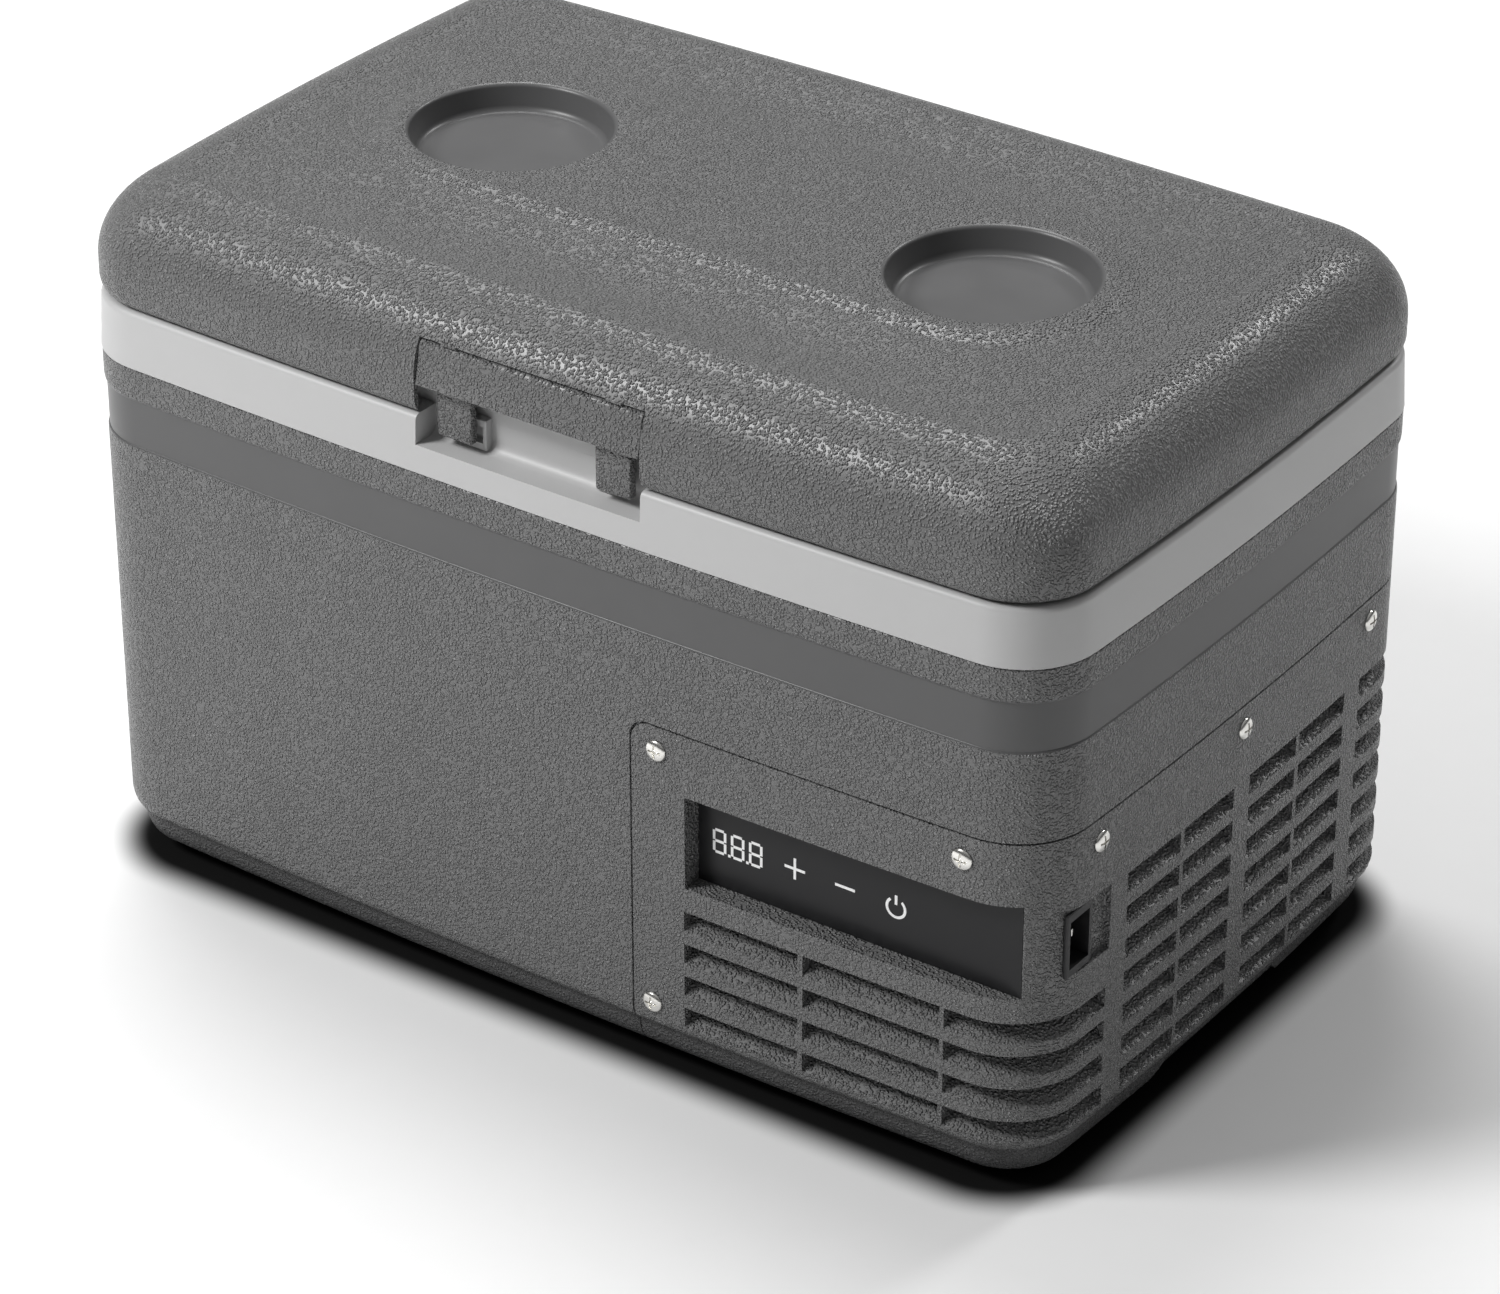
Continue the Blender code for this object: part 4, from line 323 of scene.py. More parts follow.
INSIDE = {
    "foam": surface("closed cell foam", (0.80, 0.76, 0.62), 0.90, grain=0.2, cell=420.0, shine=0.2),
    "board_green": surface("lacquered board", (0.020, 0.120, 0.050), 0.30, mottle_and_grain_shade=0.20),
    "bright_steel": STEEL,
    "rubber": RUBBER,
    "black_paint": surface("black paint", (0.020, 0.020, 0.022), 0.32, mottle_and_grain_shade=0.15),
    "copper": surface("drawn copper", (0.700, 0.350, 0.200), 0.28, metallic=1.0, mottle_and_grain_shade=0.15),
    "aluminium": surface("mill aluminium", (0.660, 0.670, 0.680), 0.34, metallic=1.0, mottle_and_grain_shade=0.12),
    "galvanised": surface("galvanised sheet", (0.520, 0.530, 0.540), 0.42, metallic=1.0, mottle_and_grain_shade=0.25),
    "fan_black": surface("fan plastic", (0.015, 0.015, 0.017), 0.40),
}
print("finishes:", len(bpy.data.materials))

# %% [markdown]
# ## Tools
# A few small tools are enough: skins through loops of points, prisms, turned shapes, and Booleans
# that use up their cutter. A finished piece gets smooth shading that stops at real edges.


# %% Meshes
def new_object(name, bm):
    bmesh.ops.recalc_face_normals(bm, faces=bm.faces)
    bmesh.ops.triangulate(bm, faces=[f for f in bm.faces if len(f.verts) > 4])
    mesh = bpy.data.meshes.new(name)
    bm.to_mesh(mesh)
    bm.free()
    made = bpy.data.objects.new(name, mesh)
    bpy.context.scene.collection.objects.link(made)
    return made


def skin(name, loops, ring=False):
    """Surface through loops of equal length, capped at both ends or closed into a ring."""
    bm = bmesh.new()
    rows = [[bm.verts.new(point) for point in loop] for loop in loops]
    count = len(rows[0])
    pairs = list(zip(rows, rows[1:]))
    if ring:
        pairs.append((rows[-1], rows[0]))
    else:
        bm.faces.new(rows[0])
        bm.faces.new(rows[-1])
    for lower, upper in pairs:
        for i in range(count):
            j = (i + 1) % count
            bm.faces.new((lower[i], lower[j], upper[j], upper[i]))
    return new_object(name, bm)


def box(name, low, high):
    bm = bmesh.new()
    bmesh.ops.create_cube(bm, size=1.0)
    bmesh.ops.scale(bm, vec=Vector(high) - Vector(low), verts=bm.verts)
    bmesh.ops.translate(bm, vec=(Vector(high) + Vector(low)) / 2, verts=bm.verts)
    return new_object(name, bm)


def prism(name, outline, axis, start, stop):
    """Extrude a 2-D outline along one axis; the outline holds the other two in X, Y, Z order."""
    def place(a, b, c):
        return {"X": (c, a, b), "Y": (a, c, b), "Z": (a, b, c)}[axis]
    return skin(name, [[place(a, b, c) for a, b in outline] for c in (start, stop)])


def turned(name, profile, steps, place):
    """Turn (radius, height) points about local Z; a radius of zero closes on the axis."""
    bm = bmesh.new()
    rows = []
    for radius, height in profile:
        if radius == 0:
            rows.append([bm.verts.new((0, 0, height))])
            continue
        turns = (2 * math.pi * i / steps for i in range(steps))
        rows.append([bm.verts.new((radius * math.cos(t), radius * math.sin(t), height)) for t in turns])
    for lower, upper in zip(rows, rows[1:]):
        for i in range(steps):
            j = (i + 1) % steps
            ways = ((lower, i), (lower, j), (upper, j), (upper, i))
            bm.faces.new(list(dict.fromkeys(row[k % len(row)] for row, k in ways)))
    for row in (rows[0], rows[-1]):
        if len(row) > 1:
            bm.faces.new(row)
    bmesh.ops.transform(bm, matrix=place, verts=bm.verts)
    return new_object(name, bm)


def along(origin, direction):
    """Placement that turns local Z to a direction."""
    turn = Vector(direction).to_track_quat("Z", "Y").to_matrix().to_4x4()
    return Matrix.Translation(origin) @ turn


def rod(name, start, stop, radius, steps=32):
    path = Vector(stop) - Vector(start)
    return turned(name, [(radius, 0), (radius, path.length)], steps, along(start, path))


# %% Booleans and finish
def bake(target):
    """Replace the mesh by what its modifiers make of it."""
    bpy.context.view_layer.update()
    evaluated = target.evaluated_get(bpy.context.evaluated_depsgraph_get())
    mesh = bpy.data.meshes.new_from_object(evaluated)
    target.modifiers.clear()
    target.data = mesh
    return target


def combine(target, operation, tools):
    for tool in tools:
        modifier = target.modifiers.new("combine", "BOOLEAN")
        modifier.operation = operation
        modifier.solver = "MANIFOLD"
        modifier.object = tool
        bake(target)
        bpy.data.objects.remove(tool)
    return target


def carve(target, *tools):
    return combine(target, "DIFFERENCE", tools)


def weld(target, *tools):
    return combine(target, "UNION", tools)


def keep(target, *tools):
    return combine(target, "INTERSECT", tools)


def join(name, items):
    bm = bmesh.new()
    for item in items:
        bm.from_mesh(item.data)
        bpy.data.objects.remove(item)
    return new_object(name, bm)


def soften(target, width, segments=3, angle=40):
    """Round the edges of a simple solid."""
    modifier = target.modifiers.new("edges", "BEVEL")
    modifier.width = width
    modifier.segments = segments
    modifier.limit_method = "ANGLE"
    modifier.angle_limit = math.radians(angle)
    return bake(target)


def dress(target, *finishes, choose=None, angle=32):
    """Give the piece its finishes; choose(centre) says which one a face takes."""
    mesh = target.data
    mesh.materials.clear()
    for finish in finishes:
        mesh.materials.append(finish)
    for face in mesh.polygons:
        face.material_index = choose(face.center) if choose else 0
    mesh.shade_smooth()
    mesh.set_sharp_from_angle(angle=math.radians(angle))
    return target


def settle(target, body, slot, *nodes):
    """The piece rides a body and stands for its CAD nodes; slot is not used."""
    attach(target, body)
    if nodes:
        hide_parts(*nodes)
    print(f"{target.name}: {len(target.data.polygons)} faces on {body}")


# %% [markdown]
# ## One outline for all forms
# Seen from above, the cooler has bowed sides and round corners. The outline is made of circle arcs
# in complex numbers: a front arc, a corner arc that touches it, and an end arc.


# %% Outline
def crossing(centre_a, radius_a, centre_b, radius_b):
    """The front-right crossing of two circles."""
    apart = centre_b - centre_a
    reach = (abs(apart) ** 2 + radius_a ** 2 - radius_b ** 2) / (2 * abs(apart))
    rise = math.sqrt(radius_a ** 2 - reach ** 2)
    unit = apart / abs(apart)
    options = [centre_a + unit * complex(reach, side * rise) for side in (-1, 1)]
    return max(options, key=lambda p: p.real - p.imag)


def arc(centre, radius, start, stop, steps):
    return [centre + cmath.rect(radius, start + (stop - start) * i / steps) for i in range(steps)]


def quarter_plan(inset, shrink=1.0):
    """Front-right quarter of the outline, from mid front to mid end."""
    half_x = LENGTH / 2 - inset
    half_y = WIDTH / 2 - inset
    radius = max(CORNER_RADIUS - shrink * inset, CORNER_LEAST)
    front_radius = (half_x ** 2 + FRONT_BOW ** 2) / (2 * FRONT_BOW)
    end_radius = (half_y ** 2 + END_BOW ** 2) / (2 * END_BOW)
    front = complex(0, front_radius - half_y)
    end = complex(half_x - end_radius, 0)
    corner = crossing(front, front_radius - radius, end, end_radius - radius)
    leave_front = cmath.phase(corner - front)
    meet_end = cmath.phase(corner - end)
    return [
        *arc(front, front_radius, -math.pi / 2, leave_front, FRONT_STEPS),
        *arc(corner, radius, leave_front, meet_end, CORNER_STEPS),
        *arc(end, end_radius, meet_end, 0, END_STEPS),
        complex(half_x, 0),
    ]


def level(inset, z, shrink=1.0):
    """Whole outline at a height, anticlockwise from mid front."""
    quarter = quarter_plan(inset, shrink)
    right = quarter + [p.conjugate() for p in reversed(quarter[:-1])]
    whole = right + [-p.conjugate() for p in reversed(right[1:-1])]
    return [(p.real, p.imag, z) for p in whole]


def loft(name, levels, ring=False):
    return skin(name, [level(inset, z) for inset, z in levels], ring)


def outline_at(x=None, y=None):
    """Point on the wall's front-right outline at a given x or y."""
    quarter = quarter_plan(WALL_INSET)
    xs = [p.real for p in quarter]
    ys = [p.imag for p in quarter]
    if y is None:
        return complex(x, np.interp(x, xs, ys))
    return complex(np.interp(y, ys, xs), y)


def quarter_turns(steps):
    return [math.pi / 2 * i / steps for i in range(steps + 1)]


print("points on the outline:", len(level(0, 0)))

# %% [markdown]
# ## Body shell
# Plinth, wall, band and collar are one moulding. The plinth tucks in under the wall, and its colour
# is painted darker there as shade. The band above the wall is smooth, and the grain starts again on
# the collar. The maker's lettering on the band is left out, so the band is bare.


# %% Body profile
def body_levels():
    levels = []
    for t in reversed(quarter_turns(8)):
        tuck = (PLINTH_TUCK - PLINTH_INSET - PLINTH_STEP) * (1 - math.cos(t))
        levels.append((PLINTH_INSET + PLINTH_STEP + tuck, WALL_Z - (WALL_Z - PLINTH_Z) * math.sin(t)))
    for t in quarter_turns(8):
        tuck = (PLINTH_INSET - WALL_INSET) * (1 - math.sin(t))
        levels.append((WALL_INSET + tuck, WALL_Z + FIT + WALL_ROUND * (1 - math.cos(t))))
    for t in quarter_turns(5):
        step = (BAND_INSET - WALL_INSET) * (1 - math.cos(t))
        levels.append((WALL_INSET + step, BAND_Z - SHOULDER_ROUND * (1 - math.sin(t))))
    for t in quarter_turns(6):
        step = (BAND_INSET - COLLAR_INSET) * math.sin(t)
        levels.append((BAND_INSET - step, COLLAR_Z + COLLAR_ROUND * (1 - math.cos(t))))
    top = RIM_Z - FIT
    edge = ((0, 2 * FIT), (FIT, FIT / 2), (2 * FIT, 0))
    return levels + [(COLLAR_INSET + step, top - drop) for step, drop in edge]


def inner_levels(wall, floor_z, top_z):
    """Inside of the body at a wall thickness, between two heights."""
    return [
        (PLINTH_TUCK + wall, floor_z),
        (PLINTH_TUCK + wall, PLINTH_Z + SHELL_WALL + FIT),
        (PLINTH_INSET + wall, WALL_Z + SHELL_WALL),
        (WALL_INSET + wall, WALL_Z + WALL_ROUND + SHELL_WALL),
        (WALL_INSET + wall, top_z),
    ]


def cover_zone(name, gap):
    """Everything behind the cover's edge line: a prism across the body with one round corner."""
    left = COVER_X + gap
    top = COVER_TOP - gap
    bend = complex(left + COVER_CORNER, top - COVER_CORNER)
    turn = [bend + cmath.rect(COVER_CORNER, math.pi - t) for t in quarter_turns(10)]
    outline = [(LENGTH, -PAST), (left, -PAST), *[(p.real, p.imag) for p in turn], (LENGTH, top)]
    return prism(name, outline, "Y", -WIDTH, WIDTH)


def arch_cutter(side):
    """Flared gap through the plinth at one end of the body."""
    outline = [
        (-ARCH_HALF_FOOT, PLINTH_Z - PAST),
        (ARCH_HALF_FOOT, PLINTH_Z - PAST),
        (ARCH_HALF_FOOT, PLINTH_Z),
        (ARCH_HALF_TOP, PLINTH_Z + ARCH_HEIGHT),
        (-ARCH_HALF_TOP, PLINTH_Z + ARCH_HEIGHT),
        (-ARCH_HALF_FOOT, PLINTH_Z),
    ]
    inner = LENGTH / 2 - PLINTH_INSET - ARCH_DEPTH
    return prism("arch", outline, "X", side * inner, side * LENGTH)


def finish_and_plinth_shade(centre):
    """1 on the smooth band, 2 on the plinth with its painted shade, 0 on the grain."""
    if centre.z < WALL_Z - FIT:
        return 2
    return 1 if BAND_Z - SHOULDER_ROUND / 2 < centre.z < COLLAR_Z + COLLAR_ROUND / 3 else 0


# %% Body
shell = loft("body", body_levels())
carve(shell, loft("body cavity", inner_levels(SHELL_WALL, PLINTH_Z + SHELL_WALL, RIM_Z + PAST)))
block = loft("arch block", [(PLINTH_TUCK - FIT, PLINTH_Z + FIT), (PLINTH_TUCK, PLINTH_Z + 0.014)])
keep(block, box("arch room", (-LENGTH, -0.065, 0), (-0.268, 0.065, 0.035)))
weld(shell, block)
carve(shell, arch_cutter(-1), cover_zone("cover opening", 0))
# The plinth takes the darker plastic as painted shade.
dress(shell, GRAIN, SMOOTH, PLINTH_PAINTED_SHADE, choose=finish_and_plinth_shade)
settle(shell, "base", "grained_dark", "outer_shell")

# %% [markdown]
# ## Compressor cover
# The cover wraps the right-hand end from front to back. Its slots rise inward, so that a look from
# above meets a sloping floor and then the dark bay. One row of slots is cut as a cutter, and a
# Geometry Nodes group repeats the row down the face.


# %% Rows of slots
def node_group(name, **inputs):
    """Geometry node group with further inputs, each given by its socket type."""
    tree = bpy.data.node_groups.new(name, "GeometryNodeTree")
    for label, kind in {"Geometry": "Geometry", **inputs}.items():
        tree.interface.new_socket(label, in_out="INPUT", socket_type=f"NodeSocket{kind}")
    tree.interface.new_socket("Geometry", in_out="OUTPUT", socket_type="NodeSocketGeometry")
    return tree, tree.nodes, linker(tree)


def rows_group():
    """Node group that repeats a mesh downward."""
    tree, nodes, link = node_group("rows", Count="Int", Pitch="Float")
    start = nodes.new("NodeGroupInput")
    down = nodes.new("ShaderNodeMath")
    down.operation = "MULTIPLY"
    down.inputs[1].default_value = -1.0
    offset = nodes.new("ShaderNodeCombineXYZ")
    line = nodes.new("GeometryNodeMeshLine")
    copies = nodes.new("GeometryNodeInstanceOnPoints")
    solid = nodes.new("GeometryNodeRealizeInstances")
    end = nodes.new("NodeGroupOutput")
    link(start, "Pitch", down, 0)
    link(down, "Value", offset, "Z")
    link(start, "Count", line, "Count")
    link(offset, "Vector", line, "Offset")
    link(line, "Mesh", copies, "Points")
    link(start, "Geometry", copies, "Instance")
    link(copies, "Instances", solid, "Geometry")
    link(solid, "Geometry", end, "Geometry")
    return tree


def apply_group(target, tree, **values):
    """Run a node group on an object, with its inputs set by socket identifier."""
    modifier = target.modifiers.new(tree.name, "NODES")
    modifier.node_group = tree
    for item in tree.interface.items_tree:
        if item.in_out == "INPUT" and item.name in values:
            modifier[item.identifier] = values[item.name]
    return bake(target)


def slot_path(start, stop):
    """Outline points between two places on the front-right quarter."""
    quarter = quarter_plan(WALL_INSET)
    ahead = [p for p in quarter if start.real < p.real and start.imag < p.imag]
    return [start, *[p for p in ahead if p.real < stop.real and p.imag < stop.imag], stop]


def slot_cutter(path):
    """One slot of the top row, following the outline and rising inward."""
    loops = []
    for i, point in enumerate(path):
        before = path[max(i - 1, 0)]
        after = path[min(i + 1, len(path) - 1)]
        outward = (after - before) / abs(after - before) * -1j
        near, far = -PAST, LOUVRE_WALL + PAST
        corners = []
        for depth, drop in ((near, 0), (near, LOUVRE_HEIGHT), (far, LOUVRE_HEIGHT), (far, 0)):
            spot = point - outward * depth
            z = LOUVRE_TOP - drop + LOUVRE_RISE * depth / LOUVRE_WALL
            corners.append((spot.real, spot.imag, z))
        loops.append(corners)
    return skin("slot", loops)


def mirrored(path):
    """The same path on the back, still running with the outline."""
    return [p.conjugate() for p in reversed(path)]


# %% Slot rows
ROWS = rows_group()
front_paths = [slot_path(*[outline_at(x=COVER_X + x) for x in ends]) for ends in FRONT_SLOTS]
side_paths = [slot_path(*[outline_at(y=share * WIDTH) for share in ends]) for ends in SIDE_SLOTS]
corner_x, corner_share = CORNER_SLOT
corner_path = slot_path(outline_at(x=COVER_X + corner_x), outline_at(y=corner_share * WIDTH))
tall_paths = [*side_paths, *map(mirrored, [*side_paths, corner_path, *front_paths])]
tall_slots = join("tall slots", [slot_cutter(path) for path in tall_paths])
apply_group(tall_slots, ROWS, Count=TALL_ROWS, Pitch=LOUVRE_PITCH)
short_slots = join("short slots", [slot_cutter(path) for path in [*front_paths, corner_path]])
short_slots.data.transform(Matrix.Translation((0, 0, -LOUVRE_PITCH * (TALL_ROWS - SHORT_ROWS))))
apply_group(short_slots, ROWS, Count=SHORT_ROWS, Pitch=LOUVRE_PITCH)
print("slot cutter faces:", len(tall_slots.data.polygons) + len(short_slots.data.polygons))


# %% Display recess and inlet recess
def panel_y(x):
    """Front face of the display lens at x."""
    share = (x - PANEL_X) / (PANEL_END_X - PANEL_X)
    return FRONT_Y + PANEL_DEPTH + (PANEL_END_DEPTH - PANEL_DEPTH) * share


def panel_slab(name, x_low, x_high, front, back, margin):
    """Slab parallel to the lens, between two depths behind its front face."""
    outline = [
        (x_low, panel_y(x_low) + front),
        (x_high, panel_y(x_high) + front),
        (x_high, panel_y(x_high) + back),
        (x_low, panel_y(x_low) + back),
    ]
    return prism(name, outline, "Z", PANEL_BOTTOM + margin, PANEL_TOP - margin)


def socket_box(name, width, height, x_low, x_high):
    middle = INLET_Y + FIT + SOCKET_WIDTH / 2
    low = (x_low, middle - width / 2, INLET_Z - height / 2)
    return box(name, low, (x_high, middle + width / 2, INLET_Z + height / 2))


def inlet_cutters():
    floor_x = RIGHT_X - INLET_DEPTH
    half = INLET_SIZE / 2
    low = (floor_x, INLET_Y, INLET_Z - half)
    recess = box("inlet recess", low, (LENGTH, INLET_Y + INLET_SIZE, INLET_Z + half))
    soften(recess, 0.0012, angle=60)
    width, height = (size + 2 * (SOCKET_WALL + FIT) for size in SOCKET_OPENING)
    return [recess, socket_box("socket hole", width, height, floor_x - SOCKET_DEPTH - PAST, LENGTH / 2)]


# %% Screw places
def screw_places():
    """Point on the cover and outward direction of every cover screw."""
    top = COVER_TOP - SCREW_DROP
    places = []
    for along_x, z in (*[(x, top) for x in SCREW_TOP_X], (SCREW_LOW_X, SCREW_LOW_Z)):
        x = COVER_X + along_x
        for side in (1, -1):
            places.append(((x, side * outline_at(x=x).imag, z), (0, -side, 0)))
    for y in (SCREW_SIDE - WIDTH / 2, 0, WIDTH / 2 - SCREW_SIDE):
        lean = 2 * END_BOW * y / (WIDTH / 2) ** 2
        places.append(((outline_at(y=-abs(y)).real, y, top), Vector((1, lean, 0)).normalized()))
    return places


def screw_bores():
    bores = []
    for point, outward in screw_places():
        start = Vector(point) + PAST * Vector(outward)
        stop = Vector(point) - 2 * PAST * Vector(outward)
        bores.append(rod("screw bore", start, stop, SCREW_BORE, 16))
    return bores


# %% Cover
seam_z = COVER_TOP - COVER_MARGIN
cover = keep(loft("cover", body_levels()), cover_zone("cover region", PANEL_GAP))
top_margin = loft("top margin", inner_levels(SHELL_WALL, -PAST, LID_Z))
keep(top_margin, box("above seam", (0, -WIDTH, seam_z), (LENGTH, WIDTH, RIM_Z)))
left_margin = loft("left margin", inner_levels(SHELL_WALL, -PAST, LID_Z))
keep(left_margin, box("left of seam", (0, -WIDTH, -2 * PAST), (COVER_X + COVER_MARGIN, WIDTH, RIM_Z)))
carve(cover, top_margin, left_margin, loft("bay", inner_levels(LOUVRE_WALL, -PAST, seam_z + FIT)))
weld(cover, box(
    "panel boss",
    (PANEL_X - BOSS_WALL, FRONT_Y + BOSS_SEAM, PANEL_BOTTOM - BOSS_WALL),
    (PANEL_END_X - BOSS_DEPTH, FRONT_Y + BOSS_DEPTH, PANEL_TOP + BOSS_WALL),
))
carve(cover, panel_slab("panel recess", PANEL_X, LENGTH / 2, -PAST - PANEL_DEPTH, 0, 0))
carve(cover, panel_slab("panel seat", PANEL_X, PANEL_END_X, -FIT, SEAT_DEPTH, 0))
carve(cover, tall_slots, short_slots, arch_cutter(1), *inlet_cutters(), *screw_bores())
# The plinth takes the darker plastic as painted shade.
dress(cover, GRAIN, SMOOTH, PLINTH_PAINTED_SHADE, choose=finish_and_plinth_shade)
settle(cover, "base", "grained_dark", "compressor_cover")

# %% [markdown]
# ## Display
# A black lens lies at the back of the recess. Its white marks are generic: a readout with every
# segment lit, a plus key, a minus key and a standby key. They are thin plates on the lens.


# %% Lens and marks
MARK_LIFT = 0.00015
MARK_SINK = 0.0003
STROKE = 0.0014
DIGITS_X = (0.0964, 0.1066, 0.1168)
DIGIT_WIDTH = 0.0076
DIGIT_LOW = 0.1276
DIGIT_HIGH = 0.1410
DOTS_X = (0.1050, 0.1152)
KEY_Z = 0.1346
PLUS_X = 0.1425
PLUS_HALF = 0.0057
PLUS_ARM = 0.0050
MINUS_X = 0.1703
MINUS_HALF = 0.0055
STANDBY = (0.1983, 0.1338)
STANDBY_RADIUS = 0.0050
STANDBY_GAP = 38


def mark(x_low, x_high, z_low, z_high):
    y = panel_y((x_low + x_high) / 2)
    return box("mark", (x_low, y - MARK_LIFT, z_low), (x_high, y + MARK_SINK, z_high))


def digit(x, width, low, high):
    """Seven-segment figure with every segment lit."""
    middle = (low + high) / 2
    half = STROKE / 2
    gap = STROKE * 0.3
    heights = (low + half, middle, high - half)
    bars = [mark(x + STROKE, x + width - STROKE, z - half, z + half) for z in heights]
    for z_low, z_high in ((low + half, middle), (middle, high - half)):
        for edge in (x, x + width - STROKE):
            bars.append(mark(edge, edge + STROKE, z_low + gap, z_high - gap))
    return bars


def standby(x, z, radius):
    """Open ring with an upright stroke in the opening."""
    half = STROKE / 2
    turns = [math.radians(90 + STANDBY_GAP + (360 - 2 * STANDBY_GAP) * i / 28) for i in range(29)]
    outer = [(x + (radius + half) * math.cos(t), z + (radius + half) * math.sin(t)) for t in turns]
    inner = [(x + (radius - half) * math.cos(t), z + (radius - half) * math.sin(t)) for t in turns]
    y = panel_y(x)
    ring = prism("ring", outer + inner[::-1], "Y", y - MARK_LIFT, y + MARK_SINK)
    return [ring, mark(x - half, x + half, z + radius * 0.35, z + radius * 1.35)]


lens = panel_slab("display_lens", PANEL_X + FIT, PANEL_END_X - FIT, 0, LENS_THICKNESS, FIT)
dress(lens, LENS)
settle(lens, "base", "lens_black", "control_lens")
key_low, key_high = KEY_Z - STROKE / 2, KEY_Z + STROKE / 2
plates = []
for x in DIGITS_X:
    plates += digit(x, DIGIT_WIDTH, DIGIT_LOW, DIGIT_HIGH)
for x in DOTS_X:
    plates.append(mark(x, x + STROKE, DIGIT_LOW, DIGIT_LOW + STROKE))
plates.append(mark(PLUS_X - PLUS_HALF, PLUS_X + PLUS_HALF, key_low, key_high))
for z in (key_high, key_low - PLUS_ARM):
    plates.append(mark(PLUS_X - STROKE / 2, PLUS_X + STROKE / 2, z, z + PLUS_ARM))
plates.append(mark(MINUS_X - MINUS_HALF, MINUS_X + MINUS_HALF, key_low, key_high))
plates += standby(*STANDBY, STANDBY_RADIUS)
marks = dress(join("display_marks", plates), MARKS)
settle(marks, "base", "pale_rim")

# %% [markdown]
# ## Power inlet and screws
# The inlet is a flanged socket with three blades. The screws are one turned and cross-cut head,
# placed by a Geometry Nodes group on points that carry their own turn.

# %% Inlet
face_x = RIGHT_X - INLET_DEPTH + FIT
width, height = (size + 2 * SOCKET_WALL for size in SOCKET_OPENING)
inlet = socket_box("power_inlet", SOCKET_WIDTH, SOCKET_HEIGHT, face_x, face_x + SOCKET_FLANGE)
soften(inlet, 0.0005)
weld(inlet, socket_box("socket body", width, height, face_x - SOCKET_DEPTH, face_x + SOCKET_FLANGE / 2))
carve(inlet, socket_box("socket mouth", *SOCKET_OPENING, face_x - SOCKET_DEPTH + SOCKET_FLOOR, LENGTH))
dress(inlet, SOCKET)
settle(inlet, "base", "socket_black", "power_inlet")
pins = [f"inlet_pin_{number}" for number in (1, 2, 3)]
blades = join("inlet_blades", [soften(box("blade", *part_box(pin)), 0.0004) for pin in pins])
dress(blades, STEEL)
settle(blades, "base", "bright_steel", *pins)


# %% Screws
def points_group():
    """Node group that puts a piece on every point, turned by the point's own attribute."""
    tree, nodes, link = node_group("on points", Piece="Object", Finish="Material")
    start = nodes.new("NodeGroupInput")
    source = nodes.new("GeometryNodeObjectInfo")
    turn = nodes.new("GeometryNodeInputNamedAttribute")
    turn.data_type = "FLOAT_VECTOR"
    turn.inputs["Name"].default_value = "turn"
    copies = nodes.new("GeometryNodeInstanceOnPoints")
    solid = nodes.new("GeometryNodeRealizeInstances")
    finish = nodes.new("GeometryNodeSetMaterial")
    end = nodes.new("NodeGroupOutput")
    link(start, "Piece", source, "Object")
    link(start, "Geometry", copies, "Points")
    link(source, "Geometry", copies, "Instance")
    link(turn, "Attribute", copies, "Rotation")
    link(copies, "Instances", solid, "Geometry")
    link(solid, "Geometry", finish, "Geometry")
    link(start, "Finish", finish, "Material")
    link(finish, "Geometry", end, "Geometry")
    return tree


def scatter(name, places, piece, finish):
    """One object with a copy of the piece at every (point, direction)."""
    mesh = bpy.data.meshes.new(name)
    mesh.from_pydata([tuple(point) for point, _ in places], [], [])
    turns = mesh.attributes.new("turn", "FLOAT_VECTOR", "POINT")
    for item, (_, direction) in zip(turns.data, places):
        item.vector = Vector(direction).to_track_quat("Z", "Y").to_euler()
    made = bpy.data.objects.new(name, mesh)
    bpy.context.scene.collection.objects.link(made)
    apply_group(made, points_group(), Piece=piece, Finish=finish)
    bpy.data.objects.remove(piece)
    return dress(made, finish)


dome_rise = SCREW_DOME - FIT
dome = [(SCREW_HEAD * math.sin(t), FIT + dome_rise * math.cos(t)) for t in quarter_turns(8)]
shank = [(SCREW_SHANK, FIT), (SCREW_SHANK, -0.0092), (0, -0.0110)]
head = turned("screw", dome + shank, 40, Matrix())
for x, y in ((0.0034, 0.00055), (0.00055, 0.0034)):
    carve(head, box("cross", (-x, -y, SCREW_DOME - 0.0014), (x, y, SCREW_DOME + PAST)))
screw_nodes = [name for name in frame["nodes"] if name.startswith("screw_")]
screws = scatter("screws", screw_places(), head, STEEL)
settle(screws, "base", "bright_steel", *screw_nodes)

# %% Feet
tread = [(0, 0), (0.011, 0), (0.012, 0.0006)]
foot = turned("foot", [*tread, (0.014, 0.0030), (0.014, 0.0077), (0, 0.0077)], 48, Matrix())
foot_x = LENGTH / 2 - FOOT_END
foot_y = WIDTH / 2 - FOOT_SIDE
spots = [((x, y, 0), (0, 0, 1)) for x in (-foot_x, foot_x) for y in (-foot_y, foot_y)]
feet = scatter("feet", spots, foot, RUBBER)
settle(feet, "base", "rubber", *[name for name in frame["nodes"] if name.startswith("foot_")])

# %% [markdown]
# ## Pale rim
# The rim carries the lid's seat, the latch pocket in front and the hinge ears at the back. The
# pocket's back wall sweeps down to its floor, and a C-shaped catch stands behind each latch leg.


